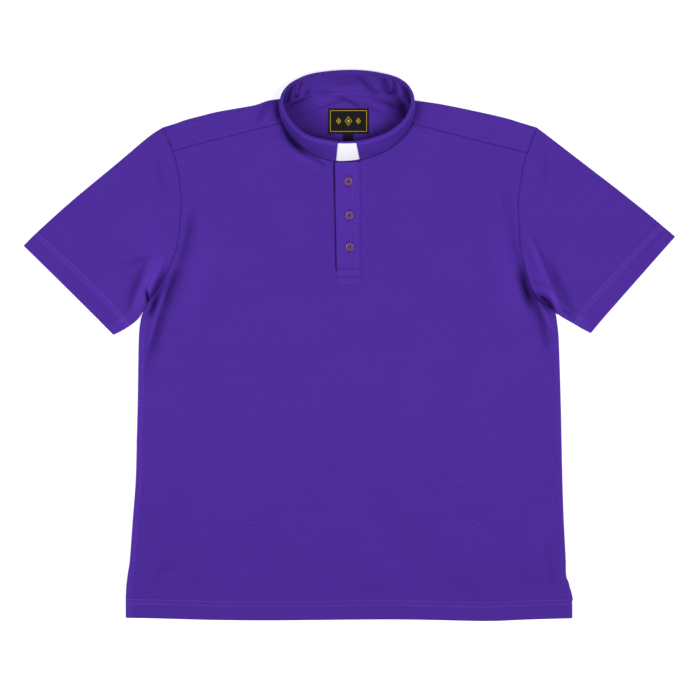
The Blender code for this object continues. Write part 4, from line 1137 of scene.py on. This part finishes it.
def sleeve_grid(side):
    """Points of a sleeve in plan, from the armhole to the cuff and from its fold to the underarm."""
    outline = {part: smooth_path(points) for part, points in SLEEVES[side].items()}
    outline["arm"] = ARMHOLE[side][::-1]
    whole = {part: path_lengths(path)[-1] for part, path in outline.items()}
    arm_parts = np.concatenate([spread([0.02, 0.62], 0.014)[:-1], spread([0.62, 0.98], 0.0075)])
    near = np.array([0.0] + CURL_STEPS)
    size = len(near)
    free_parts = np.concatenate([[0.0, 0.003, 0.006], spread([0.010, 0.19], 0.0072)[:-1],
                                 spread([0.19, 1.0], 0.024)[:-1]])
    rings = [("free", value) for value in free_parts] + [("hem", value) for value in SLEEVE_HEM_LINES]
    start = SLEEVE_HEM_LINES[0]
    plan = []
    ups = []
    for kind, value in rings:
        down = np.concatenate([np.zeros(size), arm_parts, np.ones(size)])
        for _ in range(3):
            seam_length = whole["fold"] * (1 - down) + whole["underarm"] * down
            run = value * (1 - start / seam_length) if kind == "free" else 1 - value / seam_length
            width = whole["arm"] * (1 - run) + whole["cuff"] * run
            down[:size] = near / width[:size]
            down[-size:] = 1 - near[::-1] / width[-size:]
            down[size:-size] = down[size - 1] + arm_parts * (down[-size] - down[size - 1])
        a = run[:, None]
        b = down[:, None]
        corners = ((1 - a) * (1 - b) * outline["fold"][0] + a * (1 - b) * outline["fold"][-1]
                   + (1 - a) * b * outline["arm"][-1] + a * b * outline["cuff"][-1])
        plan.append((1 - b) * along(outline["fold"], run * whole["fold"])
                    + b * along(outline["underarm"], run * whole["underarm"])
                    + (1 - a) * along(outline["arm"], down * whole["arm"])
                    + a * along(outline["cuff"], down * whole["cuff"]) - corners)
        ups.append((1 - run) * seam_length)
    return np.array(plan), np.array(ups)


def make_sleeve(side, name):
    """Sleeve: one flattened tube from the armhole to the cuff, and its sewing."""
    plan, up = sleeve_grid(side)
    over = with_height(plan, sleeve_height(plan, side, up))
    inset = outline_inset(plan)
    bottom = bottom_height(inset) + rows_under(up, SLEEVE_HEM_ROWS) * ease((inset - EDGE_CURL) / 6)
    under = with_height(plan, bottom)[:, -2:0:-1]
    loop = np.concatenate([over, under], axis=1)
    cuff = np.array(SLEEVES[side]["cuff"][-1]) - SLEEVES[side]["cuff"][0]
    course = cuff / np.linalg.norm(cuff)
    column = np.array([-course[1], course[0]])
    grain = pairs(loop[..., :2] @ course, loop[..., :2] @ column)
    shade = np.zeros(loop.shape[:2])
    shade[:, :plan.shape[1]] = sleeve_painted_shading(plan, up)
    piece = wall(name, loop, grain, body_knit, ring=True, turn=-side, knit_tone_and_painted_shading=shade)
    rows = []
    for row in SLEEVE_HEM_ROWS:
        ring = SLEEVE_HEM_LINES.index(row) - len(SLEEVE_HEM_LINES)
        rows.append(over[ring, 5:-5] + (0, 0, 0.04))
        rows.append(with_height(plan[ring, 5:-5], bottom[ring, 5:-5] - 0.15))
    sewing = sew(name + "_stitches", rows, hem_thread, pitch=3.2, radius=0.3)
    return piece, sewing


for side, name, node in ((-1, "left_sleeve", "sleeve_left"), (1, "right_sleeve", "sleeve_right")):
    sleeve, sewing = make_sleeve(side, name)
    dress(sleeve, node)

# Placket
# Two folded strips of the body knit at the front slit. The upper one is free along its left edge,
# seamed along its right, and closed by a stitched box at its foot. The lower one shows as its edge.
PLACKET_RISE = 0.4
PLACKET_STITCH = 2.2
BOX_ROWS = (108.0, 96.7)
BUTTON_CENTRES = [(-1.2, 231.7), (-0.2, 183.8), (0.5, 138.9)]


def placket_height(xy):
    """Height of the upper strip, rounded at its free edge and pulled in along its stitches."""
    left = xy[..., 0] - placket_edge(-1, xy[..., 1])
    right = placket_edge(1, xy[..., 1]) - xy[..., 0]
    form = PLACKET_RISE + 0.3 - 0.9 * bump(left, 0.8) - 0.6 * bump(right, 0.8)
    form = form - 0.25 * bump(right - PLACKET_STITCH, 0.8) - 0.2 * bump(left - 4.5, 1.2)
    for row in BOX_ROWS:
        form = form - 0.4 * bump(xy[..., 1] - row, 0.9)
    for x, y in BUTTON_CENTRES:
        form = form - 0.3 * bump(np.hypot(xy[..., 0] - x, xy[..., 1] - y), 5.0)
    form = form - 0.8 * bump(xy[..., 1] - window_foot - SEAM_SHIFT, 0.9)
    return top_height(xy) + form


def placket_plan(heights, trim):
    """Points of a strip between the placket's edges, a trim in from each."""
    parts = np.array([0.0, 0.01, 0.025, 0.05, 0.08, 0.11, 0.15, 0.2, 0.27, 0.36, 0.45, 0.55, 0.64, 0.73,
                      0.8, 0.85, 0.89, 0.92, 0.945, 0.965, 0.98, 0.99, 1.0])
    left = placket_edge(-1, heights) + trim
    across = left + parts[:, None] * (placket_edge(1, heights) - trim - left)
    return pairs(across, heights)


heights = np.concatenate([window_foot + SEAM_SHIFT + np.array([0.0, 0.4, 1.0, 2.0]),
                          spread([92.0, 95.8, 96.7, 97.6, 100.0, 105.0, 107.1, 108.0, 108.9, 112.0,
                                  PLACKET_HIGH], 2.5)])
plan = placket_plan(heights, 0.0)
# painted shading of the upper strip: painted shade in the slit along its left edge, along its stitched rows
# and along its right seam, and a little paler all over
shade = slit_painted_shade(plan[..., 1]) * bump(plan[..., 0] - placket_edge(-1, plan[..., 1]), 0.9) - 0.12
for row in BOX_ROWS:
    shade = shade + 0.3 * bump(plan[..., 1] - row, 0.9)
shade = shade + 0.3 * bump(placket_edge(1, plan[..., 1]) - plan[..., 0], 0.9)
placket = wall("placket_strip", with_height(plan, placket_height(plan)), plan, body_knit, knit_tone_and_painted_shading=shade)
plan = placket_plan(spread([window_foot - 4, PLACKET_HIGH], 6.0), 3.0)
under_strip = wall("placket_under_strip", with_height(plan, top_height(plan) - CLOTH - SEAM_SHIFT), plan,
                   body_knit)
rows = []
for row in BOX_ROWS:
    line = spread([placket_edge(-1, row) + 3.0, placket_edge(1, row) - PLACKET_STITCH], 4.0)
    xy = pairs(line, row)
    rows.append(with_height(xy, placket_height(xy)))
line = spread([BOX_ROWS[1], PLACKET_HIGH - 3.0], 4.0)
xy = pairs(placket_edge(1, line) - PLACKET_STITCH, line)
rows.append(with_height(xy, placket_height(xy)))
placket_thread = new_material("deep purple polyester thread", "30156E", 0.6, Specular_IOR_Level=0.15)
placket_stitches = sew("placket_stitches", rows, placket_thread, pitch=3.3, length=2.0,
                       radius=0.28)
for piece, node, flat, rests, pieces in (
        (placket, "placket_upper", (0.036, 0.174), [under_strip], [placket_stitches]),
        (under_strip, "placket_under", (0.032, 0.178), [back], [])):
    dress(piece, node)

# Collar
# A stand collar of the same knit, stiffened: an outer band folded over the rim and stitched down
# inside, and an inner band. The back stands open, so its inside shows with soft pinched folds.
COLLAR_HEIGHT = 38.0
COLLAR_FOOT_HEIGHT = 1.6
COLLAR_CROWN = 1.2
COLLAR_STATIONS = 440
RIM_ROLL = 5.0
RIM_GROOVE = 1.6
LEAST_DENT = -1.5
BAND = 1.0
BAND_GAP = 0.5
TAB = 0.7
RIM_TURN = 7.0
TAB_TOP = (-16.4, 9.7)
TAB_FOOT = (-18.9, 14.9)
TAB_WING = 34.0
INNER_FOLDS = [  # part of the way round at the foot and at the rim, half width, height, low and high
    (0.3186, 0.3296, 3.6, -3.2, 0, 38),
    (0.3262, 0.3372, 2.6, 2.2, 2, 36),
    (0.3340, 0.3400, 2.6, -2, 6, 38),
    (0.3420, 0.3500, 2.8, 2.2, 8, 36),
    (0.3430, 0.3600, 2.8, -2.6, 2, 38),
    (0.3450, 0.3450, 4, -2, 2, 14),
    (0.3800, 0.3793, 4.5, -2.4, 0, 15),
    (0.4321, 0.4321, 13, -1.3, 0, 12),
    (0.4980, 0.4980, 24, -1.3, 12, 38),
    (0.5877, 0.5150, 6, -2, 0, 32),
    (0.6245, 0.6090, 7, -2.4, 0, 38),
    (0.6400, 0.6440, 6, -3, 0, 18),
    (0.6410, 0.6465, 2.6, -1.8, 8, 42),
    (0.6340, 0.6320, 3.4, 1.8, 4, 34),
    (0.6660, 0.6560, 4, 2.2, 2, 38),
    (0.7050, 0.6720, 8, -2.8, 2, 42),
    (0.7014, 0.7014, 3, -1.6, 0, 18),
    (0.3010, 0.2950, 9, -2.2, 0, 40),
]

collar_knit = knit_material("purple cotton knit, stiffened")

# White polypropylene strip, smooth and faintly satin, that glows a little: painted light that brightens its
# face
white_tab = new_material("white polypropylene strip", "FCFBFD", 0.38, Specular_IOR_Level=0.4,
                         Emission_Strength=0.05)

RING_CLOSED = np.vstack([RING, RING[:1]])
RING_LENGTH = path_lengths(RING_CLOSED[:, :2])[-1]


def ring_frames(parts):
    """Foot, lean and inward direction of the collar at parts of the way round its ring."""
    row = along(RING_CLOSED, np.mod(parts, 1.0) * RING_LENGTH)
    ahead = along(RING_CLOSED, np.mod(parts + 0.004, 1.0) * RING_LENGTH)
    behind = along(RING_CLOSED, np.mod(parts - 0.004, 1.0) * RING_LENGTH)
    foot_height = COLLAR_FOOT_HEIGHT + row[..., 2] * (MIDDLE_HEIGHT + NECK_RISE + 0.4 - COLLAR_FOOT_HEIGHT)
    rise = np.sqrt(COLLAR_HEIGHT ** 2 - row[..., 3] ** 2 - row[..., 4] ** 2)
    lean = with_height(row[..., 3:], rise) / COLLAR_HEIGHT
    run = with_height((ahead - behind)[..., :2], 0.0)
    return with_height(row[..., :2], foot_height), lean, unit(np.cross(run, lean))


def ring_part(x):
    """Part of the way round the ring at which its front is at a place across."""
    lengths = path_lengths(RING_CLOSED[:, :2])
    front_half = RING_CLOSED[:, 1] < 280
    left = front_half & (np.arange(len(RING_CLOSED)) < len(RING_CLOSED) // 2)
    right = front_half & ~left
    if x <= RING[0, 0]:
        return np.interp(-x, -RING_CLOSED[left, 0], lengths[left]) / RING_LENGTH
    across = RING_CLOSED[right][::-1, 0]
    return 1 - np.interp(x, across, (RING_LENGTH - lengths[right])[::-1]) / RING_LENGTH


TAB_GAP = (ring_part(TAB_TOP[1]) - 1, ring_part(TAB_TOP[0]))


def part_up(height):
    """Part of the way up the collar, 0 at its foot and 1 at its rim."""
    return np.clip(height / COLLAR_HEIGHT, 0, 1)


def outer_dents(parts, height):
    """How far the outer band stands in from its even form: soft waves, most at half its height."""
    return 0.25 * np.sin(parts * 52) * np.sin(np.pi * part_up(height))


def inner_dents(parts, height):
    """How far the inner band stands in from its even form, as its pinched folds push it."""
    total = np.zeros(parts.shape)
    for at_foot, at_rim, width, depth, low, high in INNER_FOLDS:
        centre = at_foot + part_up(height) * (at_rim - at_foot)
        gap = (np.mod(parts - centre + 0.5, 1.0) - 0.5) * RING_LENGTH
        total += depth * bump(gap, width) * ease((height - low) / 5 + 0.4) * ease((high - height) / 12)
    return total


def band_points(parts, depth, height, dent):
    """Points of the collar at parts of the way round, a depth in from its outer face and a height up."""
    foot, lean, inward = ring_frames(parts)
    crowned = depth - COLLAR_CROWN * np.sin(np.pi * part_up(height)) + dent
    return foot + height[..., None] * lean + crowned[..., None] * inward


def band_row(low, high, depth, height, dents):
    """Row of points for thread between two parts of the way round, at a depth and a height."""
    stations = spread([low, high], 3.0 / RING_LENGTH)
    heights = np.full(len(stations), height)
    return band_points(stations, np.full(len(stations), depth), heights, dents(stations, heights))


def sweep(name, section, starts, ends, material, dents=None, painted_shading=0.0, lift=0.0):
    """Collar piece: a section of (depth, height) points carried round the ring between two ends.

    The ends are given at its foot and at its rim. Its painted shading is that of the section's points, with
    that from the dents. The lift raises its upper edge behind the tab, where the outer band doesn't fold
    over it, and gives that part a little painted highlight.
    """
    shared = np.arange(COLLAR_STATIONS) / COLLAR_STATIONS
    margin = 0.35 / COLLAR_STATIONS
    middle = [u for u in np.concatenate([shared - 1, shared, shared + 1])
              if max(starts) + margin < u < min(ends) - margin]
    section = np.array(section, float)
    depth, height = section[:, 0], section[:, 1]
    first = starts[0] + part_up(height) * (starts[1] - starts[0])
    last = ends[0] + part_up(height) * (ends[1] - ends[0])
    parts = np.vstack([first] + [np.full(len(section), u) for u in middle] + [last])
    signed = (parts + 0.5) % 1 - 0.5
    open_part = ease((signed - TAB_GAP[0]) / 0.006) * ease((TAB_GAP[1] - signed) / 0.006)
    dent = 0.0 if dents is None else dents(parts, np.broadcast_to(height, parts.shape))
    pushed = np.maximum(dent, LEAST_DENT)
    points = band_points(parts, depth, height + lift * open_part * ease((height - 24) / 10), pushed)
    # painted shade and highlight from the dents, and a painted highlight on the part lifted behind the tab
    shade = painted_shading + fold_painted_shading(2.0 * dent) - 0.25 * lift * open_part * ease((height - 28) / 5)
    count, size = points.shape[:2]
    grain = pairs(parts * RING_LENGTH, path_lengths(section))
    faces = [list(reversed(range(size))), [(count - 1) * size + k for k in range(size)]]
    for i in range(count - 1):
        for k in range(size):
            after = (k + 1) % size
            faces.append([i * size + k, i * size + after, (i + 1) * size + after, (i + 1) * size + k])
    return add_cloth(name, points.reshape(-1, 3), faces, grain.reshape(-1, 2), material, shade.ravel())


tab_depth = BAND + BAND_GAP
inner_depth = tab_depth + TAB + BAND_GAP
leg_depth = inner_depth + BAND + BAND_GAP
full_depth = leg_depth + BAND
inner_high = COLLAR_HEIGHT - 3.2
turn_end = COLLAR_HEIGHT - RIM_TURN
rim_arc = [(full_depth / 2 * (1 - math.cos(a)), COLLAR_HEIGHT - RIM_ROLL + RIM_ROLL * math.sin(a))
           for a in np.linspace(0, math.pi, 21)]
rim_arc = [(depth, v - 0.5 * bump(depth - RIM_GROOVE, 0.9)) for depth, v in rim_arc]
outer_face = [(0.0, v) for v in spread([0.0, COLLAR_HEIGHT - RIM_ROLL], 2.4)[:-1]]
outer_face[0] = (0.9, 0.2)
outer_face.insert(1, (0.25, 0.5))
leg_face = [(full_depth, v) for v in spread([COLLAR_HEIGHT - RIM_ROLL, turn_end], 0.7)[1:]]
back_leg = [(leg_depth, v) for v in (turn_end, inner_high)]
under_rim = [(leg_depth - 0.6, COLLAR_HEIGHT - 1.4), (BAND + 0.6, COLLAR_HEIGHT - 1.4)]
back_face = [(BAND, v) for v in spread([inner_high, 0.2], 4.0)]
outer_section = outer_face + rim_arc + leg_face + back_leg + under_rim + back_face
# painted shading of the outer band: painted highlights along the rim's two edges, painted shade in its
# groove and near its inner edge, and painted shade on the leg just below the roll
outer_painted_shading = np.zeros(len(outer_section))
for k, (depth, v) in enumerate(outer_section):
    if (depth, v) in rim_arc:
        outer_painted_shading[k] = -0.5 * bump(depth - 0.5, 0.7) - 0.5 * bump(depth - 3.1, 0.8)
        outer_painted_shading[k] += 0.5 * bump(depth - RIM_GROOVE, 0.9) + 0.4 * bump(depth - 4.4, 0.7)
    elif (depth, v) in leg_face:
        outer_painted_shading[k] = 0.7 * bump(v - COLLAR_HEIGHT + RIM_ROLL + 0.8, 1.1)
tab_ends = [(ring_part(TAB_FOOT[k]), ring_part(TAB_TOP[k])) for k in (0, 1)]

collar_outer = sweep("collar_outer_band", outer_section, tab_ends[0], tab_ends[1], collar_knit,
                     outer_dents, outer_painted_shading)
heights = spread([0.0, turn_end, inner_high], 1.8)
inner_section = [(inner_depth, v) for v in heights] + [(inner_depth + BAND, v) for v in heights[::-1]]
slit = ring_part(PLACKET_TOP_EDGES[0] - 2)
collar_inner = sweep("collar_inner_band", inner_section, (slit, slit), (slit + 0.998, slit + 0.998),
                     collar_knit, inner_dents, lift=2.2)
tab_heights = spread([0.8, inner_high], 2.4)
tab_section = [(tab_depth, v) for v in tab_heights] + [(tab_depth + TAB, v) for v in tab_heights[::-1]]
wing_start = tab_ends[1][0] - TAB_WING / RING_LENGTH - 1
wing_end = tab_ends[0][0] + TAB_WING / RING_LENGTH
collar_tab = sweep("collar_tab_strip", tab_section, (wing_start, wing_start), (wing_end, wing_end),
                   white_tab)
rim_row = band_row(tab_ends[0][1] + 0.01, tab_ends[1][1] - 0.01, full_depth + 0.05, turn_end + 1.0,
                   outer_dents)
foot_row = band_row(0.412, 0.556, inner_depth + BAND + 0.1, 1.6, inner_dents)
collar_stitches = sew("collar_stitches", [rim_row, foot_row], hem_thread, pitch=2.8,
                      length=1.5, radius=0.27)
dress(collar_outer, "collar_outer")
dress(collar_inner, "collar_inner")
dress(collar_tab, "collar_tab")

# Buttons
# Three four-hole shirt buttons of cast polyester, mauve and polished, with a raised rim and a sunk
# middle, sewn on with purple thread through buttonholes worked lengthwise in the upper strip.
BUTTON_HOLE_RADIUS = 0.8
BUTTON_HOLE_SPACING = 2.9
BUTTON_SIDES = 56
BUTTON_MIDDLE = 1.5
BUTTON_PROFILE = [  # radius and height, from the foot over the rim to the sunk middle
    (5, 0), (5.6, 0.2), (6, 0.7), (6.15, 1.25), (6.05, 1.75), (5.75, 2.12), (5.35, 2.3), (4.9, 2.26),
    (4.5, 2.05), (4.2, 1.78), (3.9, 1.58), (3.5, BUTTON_MIDDLE),
    (2.6, BUTTON_MIDDLE),
]
buttonhole_thread = new_material("dark purple polyester thread", "1C0B42", 0.6, Specular_IOR_Level=0.1)


def button_material():
    """Cast polyester: coloured through, faintly cloudy, polished, its polish varying a little with the
    clouds.
    """
    material = new_material("cast polyester button", "6B3A7C", 0.32, IOR=1.46, Coat_Weight=0.1)
    tree = material.node_tree
    place = add_node(tree, "ShaderNodeTexCoord").outputs["Object"]
    clouds = add_node(tree, "ShaderNodeTexNoise", {"Vector": place, "Scale": 420.0, "Detail": 2.0})
    mixed = mix_colours(tree, clouds.outputs["Fac"], colour("5B2E6B"), colour("7E4B88"))
    feed(material, "Base Color", mixed)
    dull = add_node(tree, "ShaderNodeMapRange", {"Value": clouds.outputs["Fac"], "To Min": 0.22,
                                                 "To Max": 0.4})
    feed(material, "Roughness", dull.outputs[0])
    return material


def button_blank(material):
    """Turned button with its four holes cut."""
    points = [(0.0, 0.0, 0.0), (0.0, 0.0, BUTTON_MIDDLE)]
    angles = 2 * math.pi * np.arange(BUTTON_SIDES) / BUTTON_SIDES
    for radius, height in BUTTON_PROFILE:
        points += [(radius * math.cos(a), radius * math.sin(a), height) for a in angles]
    faces = []
    for k in range(BUTTON_SIDES):
        after = (k + 1) % BUTTON_SIDES
        top = 2 + (len(BUTTON_PROFILE) - 1) * BUTTON_SIDES
        faces += [[0, 2 + after, 2 + k], [1, top + k, top + after]]
        for r in range(len(BUTTON_PROFILE) - 1):
            low = 2 + r * BUTTON_SIDES
            faces.append([low + k, low + after, low + BUTTON_SIDES + after, low + BUTTON_SIDES + k])
    blank = add_mesh("button_blank", points, faces, [material])
    drills = []
    for dx in (-0.5, 0.5):
        for dy in (-0.5, 0.5):
            bpy.ops.mesh.primitive_cylinder_add(
                vertices=16, radius=BUTTON_HOLE_RADIUS * MM, depth=8 * MM,
                location=(dx * BUTTON_HOLE_SPACING * MM, dy * BUTTON_HOLE_SPACING * MM, 0))
            drills.append(bpy.context.object)
            cut = blank.modifiers.new("hole", "BOOLEAN")
            cut.operation = "DIFFERENCE"
            cut.object = drills[-1]
    bpy.context.view_layer.update()
    mesh = bpy.data.meshes.new_from_object(blank.evaluated_get(bpy.context.evaluated_depsgraph_get()))
    for extra in drills + [blank]:
        bpy.data.objects.remove(extra)
    mesh.shade_smooth()
    mesh.set_sharp_from_angle(angle=math.radians(35))
    return mesh


def thread_arch(centre, base, dx):
    """Row of points of one bar of thread between two holes, over the button's middle."""
    x, y = centre
    reach = BUTTON_HOLE_SPACING / 2 + 0.3
    t = np.linspace(-1, 1, 9)
    return with_height(pairs(x + dx, y + reach * t), base + BUTTON_MIDDLE + 0.45 - 1.1 * t ** 4)


blank = button_blank(button_material())
half_spacing = BUTTON_HOLE_SPACING / 2
arches = []
worked = []
for number, (x, y) in enumerate(BUTTON_CENTRES, start=1):
    around = np.array([(x + dx, y + dy) for dx in (-6, 0, 6) for dy in (-6, 0, 6)])
    base = top_height(around).max() + PLACKET_RISE + SEAM_GAP
    mesh = blank.copy()
    mesh.transform(Matrix.Translation((x * MM, y * MM, base * MM)))
    button = add_object(f"shirt_button_{number}", mesh)
    dress(button, f"button_{number}")
    arches += [thread_arch((x, y), base, dx) for dx in (-half_spacing, half_spacing)]
    for end in (-1, 1):
        xy = pairs(x, y + end * np.linspace(6.0, 8.6, 4))
        worked.append(with_height(xy, placket_height(xy) + 0.15))
sew("button_threads", arches, buttonhole_thread, pitch=0.7, length=1.3, radius=0.5)
sew("buttonhole_stitches", worked, buttonhole_thread, pitch=0.5, length=0.9, radius=0.55)

# Neck label and size tab
# Two pieces of black satin ribbon sewn inside the yoke below the back neck. The label has a plain
# woven border and three small lozenges in gold yarn, the size tab has none.
LABEL = 1.0
LABEL_BOX = (-30.2, 299.8, 27.6, 335.7)
SIZE_TAB_BOX = (-8.7, 286.0, 5.5, 299.5)
RIBBON_BLACK = "0F0E13"
RIBBON_GOLD = "C9A52E"


def label_material(name, box=None):
    """Damask-woven satin ribbon, black, with figures in gold yarn where it is given their box."""
    material = new_material(name, RIBBON_BLACK, 0.65, Specular_IOR_Level=0.15)
    tree = material.node_tree
    work = maths_on(tree)
    place = add_node(tree, "ShaderNodeUVMap", uv_map="cloth").outputs["UV"]
    split = add_node(tree, "ShaderNodeSeparateXYZ", {0: place})
    weft = work("SINE", work("MULTIPLY", split.outputs["Y"], 2 * math.pi / (0.7 * MM)))
    raised = add_node(tree, "ShaderNodeBump", {"Height": weft, "Strength": 0.4, "Distance": 0.0001})
    feed(material, "Normal", raised.outputs[0])
    if box is None:
        return material
    left, low, right, high = box
    x = work("ABSOLUTE", work("SUBTRACT", split.outputs["X"], (left + right) / 2 * MM))
    y = work("ABSOLUTE", work("SUBTRACT", split.outputs["Y"], (low + high) / 2 * MM))
    edge = work("MAXIMUM", work("SUBTRACT", x, (right - left) / 2 * MM),
                work("SUBTRACT", y, (high - low) / 2 * MM))
    gold = work("LESS_THAN", work("ABSOLUTE", work("ADD", edge, 3.2 * MM)), 0.35 * MM)
    for shift, size in ((0.0, 6.0), (14.0, 4.0)):
        across = work("ABSOLUTE", work("SUBTRACT", x, shift * MM))
        lozenge = work("ADD", across, work("MULTIPLY", y, 0.8))
        figure = work("LESS_THAN", work("ABSOLUTE", work("SUBTRACT", lozenge, size * 0.8 * MM)), 0.45 * MM)
        heart = work("LESS_THAN", lozenge, size * 0.35 * MM)
        gold = work("MAXIMUM", gold, work("MAXIMUM", figure, heart))
    feed(material, "Base Color", mix_colours(tree, gold, colour(RIBBON_BLACK), colour(RIBBON_GOLD)))
    return material


def ribbon(name, box, material):
    """Thin woven patch lying on the yoke, its edges a little lower than its middle."""
    left, low, right, high = box
    across = spread([left, left + 0.4, left + 1.2, right - 1.2, right - 0.4, right], 1.6)
    heights = spread([low, low + 0.4, low + 1.2, high - 1.2, high - 0.4, high], 1.6)
    plan = pairs(across[:, None], heights)
    edge = np.minimum(np.minimum(plan[..., 0] - left, right - plan[..., 0]),
                      np.minimum(plan[..., 1] - low, high - plan[..., 1]))
    wave = 0.18 * np.sin(plan[..., 0] / 6.5) * np.sin(plan[..., 1] / 8 + 1)
    top = CLOTH + SEAM_GAP + LABEL - 0.25 * bump(edge, 0.5) + wave * ease(edge / 5)
    return wall(name, with_height(plan, top), plan, material, thickness=LABEL - 0.2)


label_ribbon = label_material("black satin ribbon, gold figures", LABEL_BOX)
plain_ribbon = label_material("black satin ribbon")
label_thread = new_material("black polyester thread", "24202C", 0.5)
label = ribbon("woven_label", LABEL_BOX, label_ribbon)
size_tab = ribbon("woven_size_tab", SIZE_TAB_BOX, plain_ribbon)
label_top = CLOTH + SEAM_GAP + LABEL
rows = [[(x, y, label_top) for y in np.linspace(LABEL_BOX[1] + 1, LABEL_BOX[3] - 1, 8)]
        for x in (LABEL_BOX[0] + 1.3, LABEL_BOX[2] - 1.3)]
label_stitches = sew("label_stitches", rows, label_thread, pitch=2.4, length=1.7, radius=0.2)
for piece, node, flat, pieces in ((label, "neck_label", (0.0578, 0.0359), [label_stitches]),
                                  (size_tab, "size_tab", (0.0142, 0.0135), [])):
    dress(piece, node)
